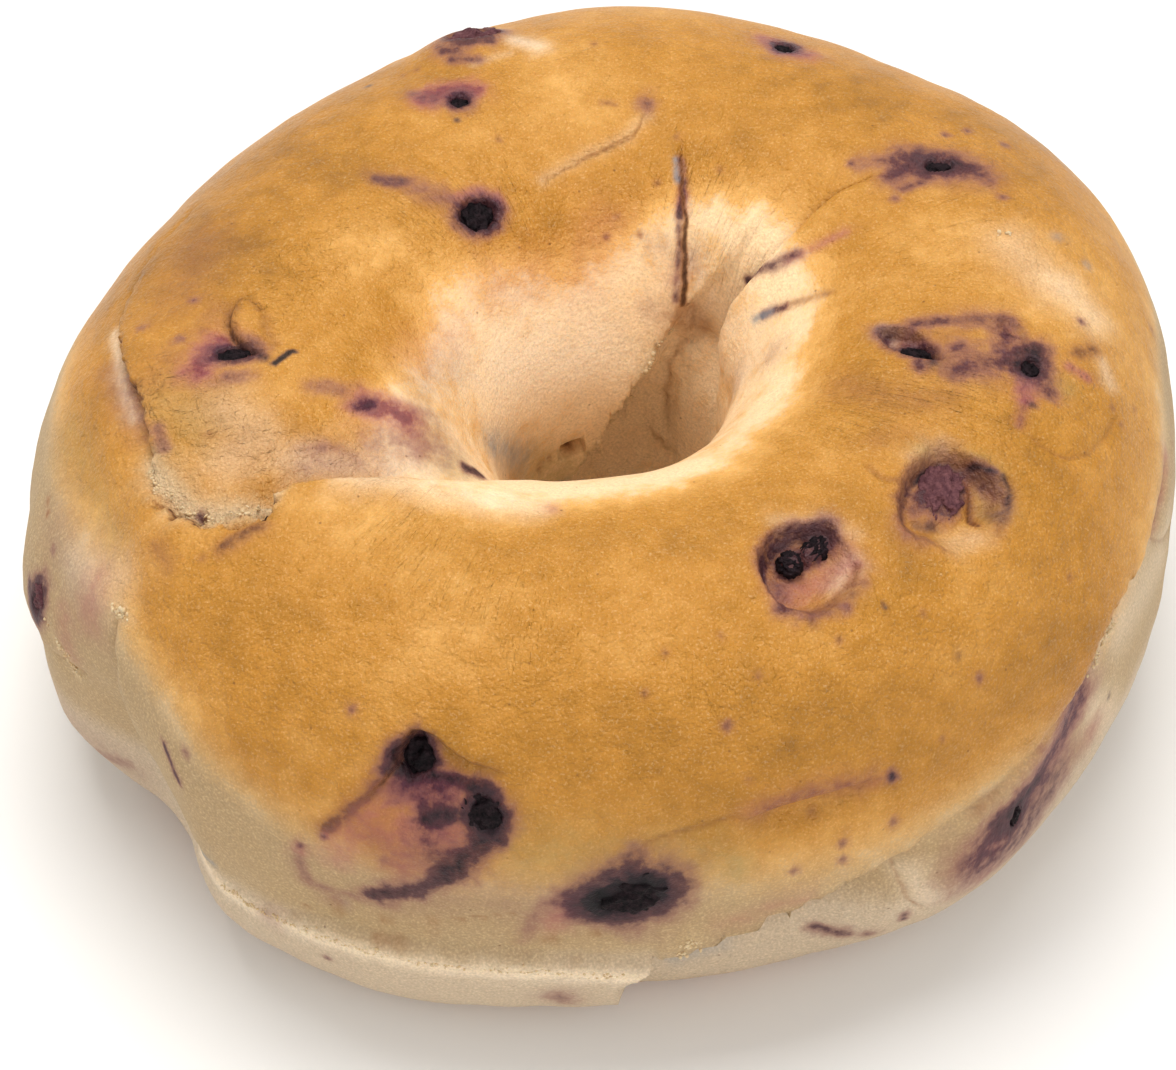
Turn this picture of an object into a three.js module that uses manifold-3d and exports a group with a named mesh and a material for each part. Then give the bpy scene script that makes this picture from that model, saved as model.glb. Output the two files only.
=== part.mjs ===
// A bagel with baked-in berries. Millimetres, +Z up, standing on its flat foot.
// Places on the ring of dough are given by two angles in degrees. The first goes round the ring: 0 is right
// (+X), 90 the back, 180 left, 270 the front. The second goes across the rope of dough: 0 is its outer side,
// 90 the crown, 180 the wall of the hole and 270 the underside.
import * as THREE from 'three';
import { mergeVertices } from 'three/addons/utils/BufferGeometryUtils.js';
import Module from 'manifold-3d';

// ---- driving dimensions ----
const ring = {
  // every 30 degrees, how far the ring reaches from the middle of its hole, and the hole's narrowest radius
  outer: [57.4, 61, 58.6, 58.8, 54.8, 54, 57.4, 58.6, 57.4, 54, 54, 55.6],
  inner: [9.5, 11.5, 11.5, 9.5, 8.5, 9, 10, 11.5, 12, 10, 9, 9],
  crown: 48.2, // mean height of the crown
  lean: 1.5, // how much higher the front is than the mean, and the back lower
  middle: 0.46, // height of the widest place, as a share of the crown's
  roundTop: 2.3, // exponents of the section: 2 is an ellipse, more is squarer
  roundFoot: 3.2,
  flat: 0.9, // what is pressed flat under the dough
  stepsAround: 102,
  stepsAcross: 32,
};
const middle = { x: 0.14, y: 2.14 }; // the middle of the whole outline, from the middle of the hole
const stepSlope = 1.7; // the step at a crease is spread this far to each side of its line
const mmPerDegreeAcross = 0.42; // how far a degree across the rope is at its outer side
const ropeDepth = 12; // a hollow presses the near side of the rope alone, this deep at most

// The foot: a band rolled under the dough, with a crease above it. [around, across, lift above, lift below]
const foot = {
  fallAbove: 5,
  fallBelow: 15,
  groove: 0.9,
  grooved: [222, 354], // the part of it with a groove
  at: [
    [0, 14, 0, 0], [60, 6, 0, 0], [150, 2, 0, 0], [212, 2, 0, 0], [219, 0, -0.2, -0.4], [224, -4, -0.4, -0.9],
    [229, -8, -0.6, -0.6], [235, -7, -0.6, 0], [243, -2.5, -0.6, 0.6], [252, -1.8, -0.6, 0.6],
    [262, -3.5, -0.6, 0.5], [270, -6, -0.6, 0.5], [274.6, -7, -0.6, 0.4], [275.6, -6.5, -0.2, -5.4],
    [285, -2.6, 0.1, -6.4], [291, -0.4, 0.2, -6], [297, 2.5, 0.3, -4], [303, 3.6, 0.3, -0.4],
    [309, 4.5, 0.3, 1.4], [317, 9, 0.6, 1], [323, 15, 0.8, 0], [328, 22, 0.8, -0.9], [334, 25, 0.6, -1.1],
    [341, 23, 0.4, -0.9], [348, 24, 0.2, -0.4], [352, 22, 0, 0], [360, 14, 0, 0],
  ],
};

// Creases where one lap of dough meets another. The dough is lifted to the left and right of each line, seen
// from outside along it, and a groove of the given radius is cut.
// [around, across, lift on the left, lift on the right]
const creases = {
  tongueEdge: {
    fall: [4, 3.5], groove: 0.6,
    at: [[153, 54.4, 0, 0], [165, 55, 0.2, 0], [170.5, 55.6, 0.3, -0.1], [176.8, 57.2, 0.6, -0.3],
      [180.5, 59.2, 0.9, -0.6], [185.5, 62.8, 1, -0.9], [191.2, 66, 1, -1], [198, 66.4, 0.6, -1],
      [202, 63.6, 0, -0.8], [205, 61, -0.4, -0.2]],
  },
  tornSeam: {
    fall: [4, 4], groove: 0.9,
    at: [[204.5, 60.5, -0.5, 0.2], [208, 61.2, -1.6, 0.3], [212.2, 64.8, -1.8, 0.4], [216.2, 70, -1.8, 0.4],
      [218.5, 76.4, -1.8, 0.4], [218.2, 80.8, -2, 0.4], [217, 84.8, -2, 0.5]],
  },
  ropeLip: {
    fall: [9, 5], groove: 0.8,
    at: [[217, 85, -2.2, 0.5], [219.8, 91.2, -2.6, 0.7], [226.8, 102.8, -3, 0.8], [232.8, 110, -3.2, 0.8],
      [238, 118, -3.2, 0.6], [243, 130, -2.5, 0.3], [247, 145, -1.5, 0], [250, 165, 0, 0]],
  },
  sideSeam: {
    fall: [5, 6], groove: 0.8,
    at: [[212.5, 36, 0, 0], [213.8, 29, 0.3, -0.7], [214.8, 21.6, 0.5, -1.1], [216.2, 14.4, 0.6, -1.3],
      [216.8, 6.4, 0.6, -1.5], [218, -1, 0.5, -1.6], [221, -14, 0.3, -1.4], [223, -30, 0, 0]],
  },
  innerSeam: {
    fall: [6, 3], groove: 0.7,
    at: [[74, 104, 0, 0], [72.8, 109.6, -0.4, 0.2], [70.2, 117.6, -0.6, 0.3], [66.2, 127.6, -0.8, 0.4],
      [64.2, 135.2, -1, 0.4], [61.8, 142.8, -1.2, 0.4], [61, 150, -1.5, 0.3]],
  },
  tornSkin: {
    fall: [12, 2.5], groove: 0,
    at: [[61, 150, -1.5, 0.2], [64.8, 155.6, -2.5, 0.3], [67.8, 161.6, -3, 0.3], [72, 166.4, -3.2, 0.3],
      [79.8, 172.8, -3.2, 0.3], [90, 178, -3.2, 0.2], [105, 184, -3, 0.2], [125, 188, -2.5, 0],
      [150, 188, -1.5, 0], [175, 188, 0, 0]],
  },
  innerLip: {
    fall: [5, 6], groove: 0.7,
    at: [[36.5, 92, 0, 0], [37.2, 96.4, 0.2, -0.2], [38.2, 104, 0.4, -0.5], [38, 116, 0.6, -0.8],
      [38.5, 126, 0.8, -1.2], [40, 135, 0.9, -1.6], [42, 144, 0.9, -2], [42, 152, 0.8, -2.2],
      [40, 160, 0.6, -2.2], [36, 170, 0.3, -1.5], [30, 180, 0, 0]],
  },
};

// Broad hollows, and swellings where the depth is negative.
// [around, across, half length, half width, turn, depth]
const hollows = {
  tongueDip: [218, 112, 15, 9, 40, 1.6],
  leftValley: [199, 45, 14, 6, 0, 1.1],
  notch: [215, -10, 15, 24, 0, 5],
  lobe: [197, 11, 10, 10, 0, -1.3],
  frontFold: [250, 40, 7, 6, 0, 1.2],
  footDimple: [290, 22, 6, 3.5, 0, 1],
  backSwell: [110, 62, 8, 6, 0, -1.3],
};

// Pits that berries left. [around, across, half length, half width, turn, depth]
const pits = {
  craterFront: [300.2, 79, 4.7, 5.1, 0, 2.2],
  craterRight: [324.3, 73.4, 5.8, 5.2, 20, 2],
  lens: [353.5, 96.2, 3.9, 2.3, 70, 1.1],
};

// Berries: [around, across, half length, half width, turn, half thickness, depth of the top under the skin]
const berries = {
  berry_tongue: [127.4, 113.6, 2.3, 2.1, 0, 1.6, 0.5],
  berry_back_left: [115.7, 84.4, 1.4, 1.3, 0, 1.1, 0.5],
  berry_back_edge: [108, 61.5, 3.2, 1.8, 0, 1.4, 0],
  berry_back: [65.8, 67, 1.5, 1.3, 0, 1.1, 0.4],
  berry_right_back: [33.3, 83.9, 2.1, 1.3, 60, 1.2, 0.5],
  berry_lap: [188.4, 86.6, 2.4, 1.9, 90, 1.5, 0.3],
  berry_lens: [352.6, 95.4, 2.1, 1.2, 70, 1, 1.2],
  berry_right: [352.2, 73, 1.6, 1.5, 0, 1.3, 0.5],
  berry_crater_right: [326.6, 78.6, 2.9, 2, 30, 1.1, 1.3],
  berry_crater_front: [304.1, 84.6, 1.5, 1, 20, 0.8, 1.4],
  berry_crater_bit: [299, 83.8, 1, 1.1, 0, 0.7, 1.3],
  berry_front_upper: [249.6, 40.5, 2.3, 2.3, 0, 1.9, 0.4],
  berry_front_side: [257.6, 29, 2.1, 2.2, 0, 1.7, 0.1],
  berry_front_low: [272, 7.5, 4.6, 3.4, 10, 2.3, 0],
  berry_foot: [314.9, -1.7, 1.1, 1.8, 0, 1.2, 0.1],
  berry_left_edge: [200.2, 13.5, 1.7, 2.2, 0, 1.3, 0.1],
};
const seat = 0.35; // gap between a berry and the dough round it
const pitWidening = 1.22; // how much wider than its berry a pit opens
const wrinkle = { depth: 0.05, lengthwise: 5, crosswise: 6 }; // of a berry's skin, as a share of its size
const largeBerry = 2.6; // a berry this long gets finer faces

const colours = { crust: 0xd89c55, berry: 0x2f2830 };

// ---- the skin of the dough ----
const radian = Math.PI / 180;
const signedPower = (x, p) => Math.sign(x) * Math.abs(x) ** p;
const smooth = (x) => THREE.MathUtils.smoothstep(x, 0, 1);
const bell = (x) => Math.exp(-x * x);

// A smooth curve through four values in a row, between the second and the third
function curve(a, b, c, d, t) {
  return b + 0.5 * t * (c - a + t * (2 * a - 5 * b + 4 * c - d + t * (3 * (b - c) + d - a)));
}

// The value at an angle of stations spread evenly round the ring
function around(stations, angle) {
  const count = stations.length;
  const place = (THREE.MathUtils.euclideanModulo(angle, 360) / 360) * count;
  const first = Math.floor(place);
  const [a, b, c, d] = [-1, 0, 1, 2].map((k) => stations[(first + k + count) % count]);
  return curve(a, b, c, d, place - first);
}

// The ring before anything is pressed into it: a place on it and the direction out of it
function bareSkin(u, v) {
  const outer = around(ring.outer, u);
  const inner = around(ring.inner, u);
  const crown = ring.crown - ring.lean * Math.sin(u * radian);
  const c = Math.cos(v * radian);
  const s = Math.sin(v * radian);
  const n = s > 0 ? ring.roundTop : ring.roundFoot;
  const half = (outer - inner) / 2;
  const widest = ring.middle * crown;
  const tall = s > 0 ? crown - widest : widest;
  const reach = (outer + inner) / 2 + half * signedPower(c, 2 / n);
  const height = widest + tall * signedPower(s, 2 / n);
  const outward = signedPower(c, 2 - 2 / n) / half;
  const upward = signedPower(s, 2 - 2 / n) / tall;
  const [cu, su] = [Math.cos(u * radian), Math.sin(u * radian)];
  return {
    point: new THREE.Vector3(reach * cu, reach * su, height),
    normal: new THREE.Vector3(outward * cu, outward * su, upward).normalize(),
  };
}

// A line of [around, across, ...] stations made finer and laid on the ring
function layLine(at, steps = 6) {
  const line = [];
  const last = at.length - 1;
  for (let k = 0; k < last; k += 1) {
    const [a, b, c, d] = [k - 1, k, k + 1, k + 2].map((i) => at[THREE.MathUtils.clamp(i, 0, last)]);
    for (let i = 0; i < steps; i += 1) {
      const t = i / steps;
      const angles = [0, 1].map((j) => curve(a[j], b[j], c[j], d[j], t));
      const lifts = [2, 3].map((j) => THREE.MathUtils.lerp(b[j], c[j], t));
      line.push({ ...bareSkin(...angles), lifts });
    }
  }
  const [u, v, ...lifts] = at[last];
  line.push({ ...bareSkin(u, v), lifts });
  return line;
}

// The step from the lift on the right of a line to that on its left, where distance is positive
function stepLift(distance, left, right) {
  return THREE.MathUtils.lerp(right, left, smooth(distance / stepSlope / 2 + 0.5));
}

// How much a crease lifts a point: the step between its two sides, fading away from the line
function creaseLift(point, line, [fallLeft, fallRight]) {
  let nearest = Infinity;
  let lift = 0;
  const along = new THREE.Vector3();
  const away = new THREE.Vector3();
  for (let k = 0; k < line.length - 1; k += 1) {
    along.subVectors(line[k + 1].point, line[k].point);
    away.subVectors(point, line[k].point);
    const t = THREE.MathUtils.clamp(away.dot(along) / along.lengthSq(), 0, 1);
    away.addScaledVector(along, -t);
    const distance = away.length();
    if (distance < nearest) {
      nearest = distance;
      const side = Math.sign(along.cross(away).dot(line[k].normal));
      const [before, after] = [line[k].lifts, line[k + 1].lifts];
      const left = THREE.MathUtils.lerp(before[0], after[0], t) * bell(distance / fallLeft);
      const right = THREE.MathUtils.lerp(before[1], after[1], t) * bell(distance / fallRight);
      lift = stepLift(side * distance, left, right);
    }
  }
  return lift;
}

// The lift of the foot band and of the dough just above it
function footLift(u, v) {
  const angle = THREE.MathUtils.euclideanModulo(u, 360);
  const k = foot.at.findIndex((station, i) => i > 0 && angle <= station[0]);
  const [before, after] = [foot.at[k - 1], foot.at[k]];
  const t = (angle - before[0]) / (after[0] - before[0]);
  const [, across, above, below] = before.map((value, i) => THREE.MathUtils.lerp(value, after[i], t));
  const distance = (THREE.MathUtils.euclideanModulo(v - across + 180, 360) - 180) * mmPerDegreeAcross;
  const [top, bottom] = [above * bell(distance / foot.fallAbove), below * bell(distance / foot.fallBelow)];
  return stepLift(distance, top, bottom);
}

// A frame on the skin: x round the ring, y across it, z out of it, turned by an angle about z
function frameAt(u, v, turn = 0) {
  const { point, normal } = bareSkin(u, v);
  const x = new THREE.Vector3(-Math.sin(u * radian), Math.cos(u * radian), 0);
  const y = new THREE.Vector3().crossVectors(normal, x);
  const frame = new THREE.Matrix4().makeBasis(x, y, normal).setPosition(point);
  return frame.multiply(new THREE.Matrix4().makeRotationZ(turn * radian));
}

function hollowLift(point, hollow) {
  const [, , halfLength, halfWidth, , depth] = hollow.size;
  const local = point.clone().applyMatrix4(hollow.inverse);
  const q = (local.x / halfLength) ** 2 + (local.y / halfWidth) ** 2;
  const nearSide = local.z > -ropeDepth;
  return q < 1 && nearSide ? -depth * (1 - q) ** 2 : 0;
}

const creaseLines = Object.values(creases).map(({ fall, at }) => ({ fall, line: layLine(at) }));
const hollowFrames = Object.values(hollows).map((size) => ({
  size, inverse: frameAt(size[0], size[1], size[4]).invert(),
}));

// The finished skin: the ring with its foot, laps and hollows, pressed flat underneath
function skin(u, v) {
  const { point, normal } = bareSkin(u, v);
  let lift = footLift(u, v);
  for (const { fall, line } of creaseLines) lift += creaseLift(point, line, fall);
  for (const hollow of hollowFrames) lift += hollowLift(point, hollow);
  point.addScaledVector(normal, lift);
  point.z = Math.max(0, point.z - ring.flat);
  point.x -= middle.x;
  point.y -= middle.y;
  return point;
}

// ---- solids ----
const wasm = await Module();
wasm.setup();

function toSolid(geometry) {
  geometry.deleteAttribute('normal');
  geometry.deleteAttribute('uv');
  const merged = mergeVertices(geometry);
  return new wasm.Manifold(new wasm.Mesh({
    numProp: 3,
    vertProperties: new Float32Array(merged.attributes.position.array),
    triVerts: new Uint32Array(merged.index.array),
  }));
}

function toGeometry(solid) {
  const { vertProperties, triVerts } = solid.getMesh();
  const geometry = new THREE.BufferGeometry();
  geometry.setAttribute('position', new THREE.BufferAttribute(vertProperties, 3));
  geometry.setIndex(new THREE.BufferAttribute(triVerts, 1));
  geometry.computeVertexNormals();
  return geometry;
}

// A torus whose vertices are moved onto the skin, row by row across the rope
function doughGeometry() {
  const geometry = new THREE.TorusGeometry(2, 1, ring.stepsAcross, ring.stepsAround);
  const position = geometry.attributes.position;
  const row = ring.stepsAround + 1;
  for (let i = 0; i < position.count; i += 1) {
    const u = (360 * (i % row)) / ring.stepsAround;
    const v = (360 * Math.floor(i / row)) / ring.stepsAcross;
    position.setXYZ(i, ...skin(u % 360, v % 360));
  }
  return geometry;
}

// A four-sided rod laid along stations of a crease, as the tool that cuts its groove
function grooveTool(stations, groove) {
  const extrudePath = new THREE.CatmullRomCurve3(stations.map(([u, v]) => skin(u, v)));
  const corners = [[groove, 0], [0, groove], [-groove, 0], [0, -groove]];
  const section = new THREE.Shape(corners.map(([x, y]) => new THREE.Vector2(x, y)));
  const steps = 2 * stations.length;
  return new THREE.ExtrudeGeometry(section, { steps, extrudePath, bevelEnabled: false });
}

// A squashed ball lying in the skin, its middle at the given depth, wrinkled by a share of its size
function ballGeometry(size, depth, grow = 0, wrinkled = 0) {
  const [u, v, halfLength, halfWidth, turn, halfThickness] = size;
  const geometry = new THREE.IcosahedronGeometry(1, halfLength > largeBerry ? 2 : 1);
  const position = geometry.attributes.position;
  const corner = new THREE.Vector3();
  for (let i = 0; i < position.count; i += 1) {
    corner.fromBufferAttribute(position, i);
    const waves = Math.sin(wrinkle.lengthwise * corner.x + u) * Math.cos(wrinkle.crosswise * corner.y + v);
    corner.multiplyScalar(1 - wrinkled * (1 + waves));
    position.setXYZ(i, corner.x, corner.y, corner.z);
  }
  geometry.scale(halfLength + grow, halfWidth + grow, halfThickness + grow);
  geometry.translate(0, 0, -depth);
  const lifted = skin(u, v);
  geometry.applyMatrix4(frameAt(u, v, turn).setPosition(lifted));
  return geometry;
}

// The pit of a berry: wider than the berry, and deep enough to clear it all round
function berryPit([u, v, halfLength, halfWidth, turn, halfThickness, top]) {
  const deep = top + 2 * halfThickness + 2 * seat;
  return ballGeometry([u, v, halfLength * pitWidening, halfWidth * pitWidening, turn, deep], 0, seat);
}

// The dough, with its grooves and pits cut
function buildDough() {
  let dough = toSolid(doughGeometry());
  const [grooveStart, grooveEnd] = foot.grooved;
  const footRoute = foot.at.filter(([u]) => u > grooveStart && u < grooveEnd);
  const cuts = [grooveTool(footRoute, foot.groove)];
  for (const { at, groove } of Object.values(creases)) {
    if (groove > 0) cuts.push(grooveTool(at.slice(1, -1), groove));
  }
  for (const pit of Object.values(pits)) cuts.push(ballGeometry(pit, 0));
  for (const size of Object.values(berries)) cuts.push(berryPit(size));
  for (const cut of cuts) dough = dough.subtract(toSolid(cut));
  const material = new THREE.MeshStandardMaterial({ color: colours.crust, roughness: 0.55 });
  const mesh = new THREE.Mesh(toGeometry(dough), material);
  mesh.name = 'dough';
  return mesh;
}

function buildBerry(name, size) {
  const [, , , , , halfThickness, top] = size;
  const material = new THREE.MeshStandardMaterial({ color: colours.berry, roughness: 0.6 });
  const mesh = new THREE.Mesh(ballGeometry(size, top + halfThickness, 0, wrinkle.depth), material);
  mesh.name = name;
  return mesh;
}

function buildBagel() {
  const bagel = new THREE.Group();
  bagel.add(buildDough());
  for (const [name, size] of Object.entries(berries)) bagel.add(buildBerry(name, size));
  return bagel;
}

export default buildBagel();
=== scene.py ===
import math
import random
import bmesh
import bpy
import numpy as np
from mathutils import Euler, Matrix, Vector, noise


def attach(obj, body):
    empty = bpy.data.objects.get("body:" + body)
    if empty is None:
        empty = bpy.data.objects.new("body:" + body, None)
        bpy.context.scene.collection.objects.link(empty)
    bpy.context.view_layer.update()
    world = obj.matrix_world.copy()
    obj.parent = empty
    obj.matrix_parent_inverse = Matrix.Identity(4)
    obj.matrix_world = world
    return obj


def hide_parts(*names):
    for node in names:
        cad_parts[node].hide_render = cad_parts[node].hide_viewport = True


# A bagel with baked-in berries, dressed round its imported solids.
# Places on the dough are two angles in degrees: round the ring (0 right, 90 back, 180 left, 270 front), and
# across the rope (0 outer side, 90 crown, 180 wall of the hole, 270 underside). Lengths are millimetres.

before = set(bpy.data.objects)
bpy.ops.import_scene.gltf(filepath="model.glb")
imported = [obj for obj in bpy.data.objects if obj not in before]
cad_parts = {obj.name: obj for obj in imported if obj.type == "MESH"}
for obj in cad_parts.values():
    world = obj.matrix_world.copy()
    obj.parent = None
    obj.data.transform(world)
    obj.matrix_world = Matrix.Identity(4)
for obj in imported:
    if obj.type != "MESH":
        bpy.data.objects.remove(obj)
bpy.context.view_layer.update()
mm = 0.001


# ---- the ring of dough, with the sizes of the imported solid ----
ring = {
    # every 30 degrees, how far the ring reaches from the middle of its hole, and the hole's narrowest radius
    "outer": [57.4, 61, 58.6, 58.8, 54.8, 54, 57.4, 58.6, 57.4, 54, 54, 55.6],
    "inner": [9.5, 11.5, 11.5, 9.5, 8.5, 9, 10, 11.5, 12, 10, 9, 9],
    "crown": 48.2, "lean": 1.5, "middle": 0.46,  # heights, the front leaning higher
    "roundTop": 2.3, "roundFoot": 3.2,           # exponents of the section
    "flat": 0.9,                                 # pressed flat under the dough
    "centre": (0.14, 2.14),                      # of the outline, from the hole
}


def curve(a, b, c, d, t):
    return b + 0.5 * t * (c - a + t * (2 * a - 5 * b + 4 * c - d + t * (3 * (b - c) + d - a)))


def around(stations, angle):
    stations = np.array(stations, float)
    count = len(stations)
    place = np.mod(angle, 360) / 360 * count
    first = np.floor(place).astype(int)
    a, b, c, d = (stations[(first + k) % count] for k in (-1, 0, 1, 2))
    return curve(a, b, c, d, place - first)


def signedPower(x, power):
    return np.sign(x) * np.abs(x) ** power


def smooth(x):
    x = np.clip(x, 0, 1)
    return x * x * (3 - 2 * x)


def bell(x):
    return np.exp(-x * x)


# the ring before anything is pressed into it: places on it, and the directions out of it
def bareSkin(u, v):
    ru, rv = np.radians(u), np.radians(v)
    outer, inner = around(ring["outer"], u), around(ring["inner"], u)
    crown = ring["crown"] - ring["lean"] * np.sin(ru)
    c, s = np.cos(rv), np.sin(rv)
    power = np.where(s > 0, ring["roundTop"], ring["roundFoot"])
    half = (outer - inner) / 2
    widest = ring["middle"] * crown
    tall = np.where(s > 0, crown - widest, widest)
    reach = (outer + inner) / 2 + half * signedPower(c, 2 / power)
    height = widest + tall * signedPower(s, 2 / power)
    outward = signedPower(c, 2 - 2 / power) / half
    upward = signedPower(s, 2 - 2 / power) / tall
    length = np.hypot(outward, upward)
    cu, su = np.cos(ru), np.sin(ru)
    points = np.stack([reach * cu, reach * su, height], -1)
    normals = np.stack([outward * cu, outward * su, upward], -1) / length[..., None]
    return points, normals


# smooth noise from -1 to 1, with features about as wide as the given size
def waves(points, size, seed=0.0):
    return np.array([noise.noise(Vector(p)) for p in points / size + seed]) * 1.6


# ---- creases, where laps of dough meet ----
# at: [around, across, lift on the left, lift on the right], left being crownwards along rising angles.
# fall: how far the lifts reach, left and right. cut and width: the groove. lap: how far the edge hangs over,
# to the right where positive. ragged: how far the line wanders. dark: half width of the line of painted shade in it.
creases = {
    "tongueEdge": {
        "fall": (4, 3.5), "cut": 0.25, "width": 0.6, "lap": 0.6, "ragged": 0.3, "dark": 0.12,
        "at": [(153, 54.4, 0, 0), (165, 55, 0.2, 0), (170.5, 55.6, 0.3, -0.1), (176.8, 57.2, 0.6, -0.3),
               (180.5, 59.2, 0.9, -0.6), (185.5, 62.8, 1, -0.9), (191.2, 66, 1, -1), (198, 66.4, 0.6, -1),
               (202, 63.6, 0, -0.8), (205, 61, -0.4, -0.2)]},
    "tornSeam": {
        "fall": (4, 4), "cut": 0.7, "width": 1.1, "lap": -0.4, "ragged": 0.8, "dark": 0.1,
        "at": [(204.5, 60.5, -0.5, 0.2), (208, 61.2, -1.6, 0.3), (212.2, 64.8, -1.8, 0.4), (216.2, 70, -1.8, 0.4),
               (218.5, 76.4, -1.8, 0.4), (218.2, 80.8, -2, 0.4), (217, 84.8, -2, 0.5)]},
    "ropeLip": {
        "fall": (9, 5), "cut": 0.6, "width": 0.8, "lap": -1.0, "ragged": 0.15, "dark": 0,
        "at": [(217, 85, -2.2, 0.5), (219.8, 91.2, -2.6, 0.7), (226.8, 102.8, -3, 0.8), (232.8, 110, -3.2, 0.8),
               (238, 118, -3.2, 0.6), (243, 130, -2.5, 0.3), (247, 145, -1.5, 0), (250, 165, 0, 0)]},
    "sideSeam": {
        "fall": (5, 6), "cut": 0.6, "width": 0.8, "lap": 0.5, "ragged": 0.3, "dark": 0.25,
        "at": [(212.5, 36, 0, 0), (213.8, 29, 0.3, -0.7), (214.8, 21.6, 0.5, -1.1), (216.2, 14.4, 0.6, -1.3),
               (216.8, 6.4, 0.6, -1.5), (218, -1, 0.5, -1.6), (221, -14, 0.3, -1.4), (223, -30, 0, 0)]},
    "innerSeam": {
        "fall": (6, 3), "cut": 0.3, "width": 0.4, "lap": 0, "ragged": 0.15, "dark": 0.1,
        "at": [(74, 104, 0, 0), (72.8, 109.6, -0.4, 0.2), (70.2, 117.6, -0.6, 0.3), (66.2, 127.6, -0.8, 0.4),
               (64.2, 135.2, -1, 0.4), (61.8, 142.8, -1.2, 0.4), (61, 150, -1.5, 0.3)]},
    "tornSkin": {
        "fall": (12, 2.5), "cut": 0, "width": 1, "lap": -0.8, "ragged": 0.7, "dark": 0,
        "at": [(61, 150, -1.5, 0.2), (64.8, 155.6, -2.5, 0.3), (67.8, 161.6, -3, 0.3), (72, 166.4, -3.2, 0.3),
               (79.8, 172.8, -3.2, 0.3), (90, 178, -3.2, 0.2), (105, 184, -3, 0.2), (125, 188, -2.5, 0),
               (150, 188, -1.5, 0), (175, 188, 0, 0)]},
    "innerLip": {
        "fall": (5, 6), "cut": 0.5, "width": 0.8, "lap": 0.7, "ragged": 0.1, "dark": 0.08,
        "at": [(36.5, 92, 0, 0), (37.2, 96.4, 0.2, -0.2), (38.2, 104, 0.4, -0.5), (38, 116, 0.6, -0.8),
               (38.5, 126, 0.8, -1.2), (40, 135, 0.9, -1.6), (42, 144, 0.9, -2), (42, 152, 0.8, -2.2),
               (40, 160, 0.6, -2.2), (36, 170, 0.3, -1.5), (30, 180, 0, 0)]},
    "leftLobeCrack": {
        "fall": (2, 4), "cut": 0.5, "width": 0.4, "lap": 0.2, "ragged": 0.4, "dark": 0.25,
        "at": [(194, 4.8, 0, 0), (199.2, 4.4, 0.1, -0.4), (203.2, 4.4, 0.1, -0.4), (207.8, 6.4, 0, 0)]},
    "backLip": {
        "fall": (3, 3), "cut": 0.15, "width": 0.5, "lap": 0.3, "ragged": 0.2, "dark": 0.1,
        "at": [(82.5, 97.2, -0.1, 0.1), (83, 102.8, -0.3, 0.2), (87.2, 106.4, -0.3, 0.2), (91.8, 108, -0.3, 0.2),
               (99, 110.8, -0.2, 0.1), (107.5, 112.4, 0, 0)]},
    "flapEdge": {
        "fall": (3, 2), "cut": 0.4, "width": 0.5, "lap": 0.4, "ragged": 0.15, "dark": 0.3,
        "at": [(174.5, 88.5, 0, 0), (175.9, 86.5, 0.4, -0.2), (178.5, 85.6, 0.6, -0.4), (181.5, 85.8, 0.7, -0.5),
               (184.5, 87.2, 0.7, -0.6), (187, 89.5, 0.4, -0.3), (188.5, 92, 0, 0)]},
    "dimpleFold": {
        "fall": (3, 3), "cut": 0.2, "width": 0.5, "lap": 0.2, "ragged": 0.1, "dark": 0.1,
        "at": [(283, 24, 0, 0), (287, 24.8, 0.3, -0.6), (291, 24.6, 0.3, -0.9), (295, 25, 0.3, -0.6),
               (299, 25, 0, 0)]},
    "frontPitFold": {
        "fall": (2, 5), "cut": 0.2, "width": 0.5, "lap": 0.3, "ragged": 0.2, "dark": 0.2,
        "at": [(245.5, 28, 0, 0), (246.8, 33, 0.2, -0.8), (247.8, 39.2, 0.2, -1.2), (248.8, 48, 0.2, -1.2),
               (251.5, 47, 0.2, -1.2), (254, 43.6, 0.2, -1), (257, 41.6, 0.2, -0.6), (260, 40, 0, 0)]},
}
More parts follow.
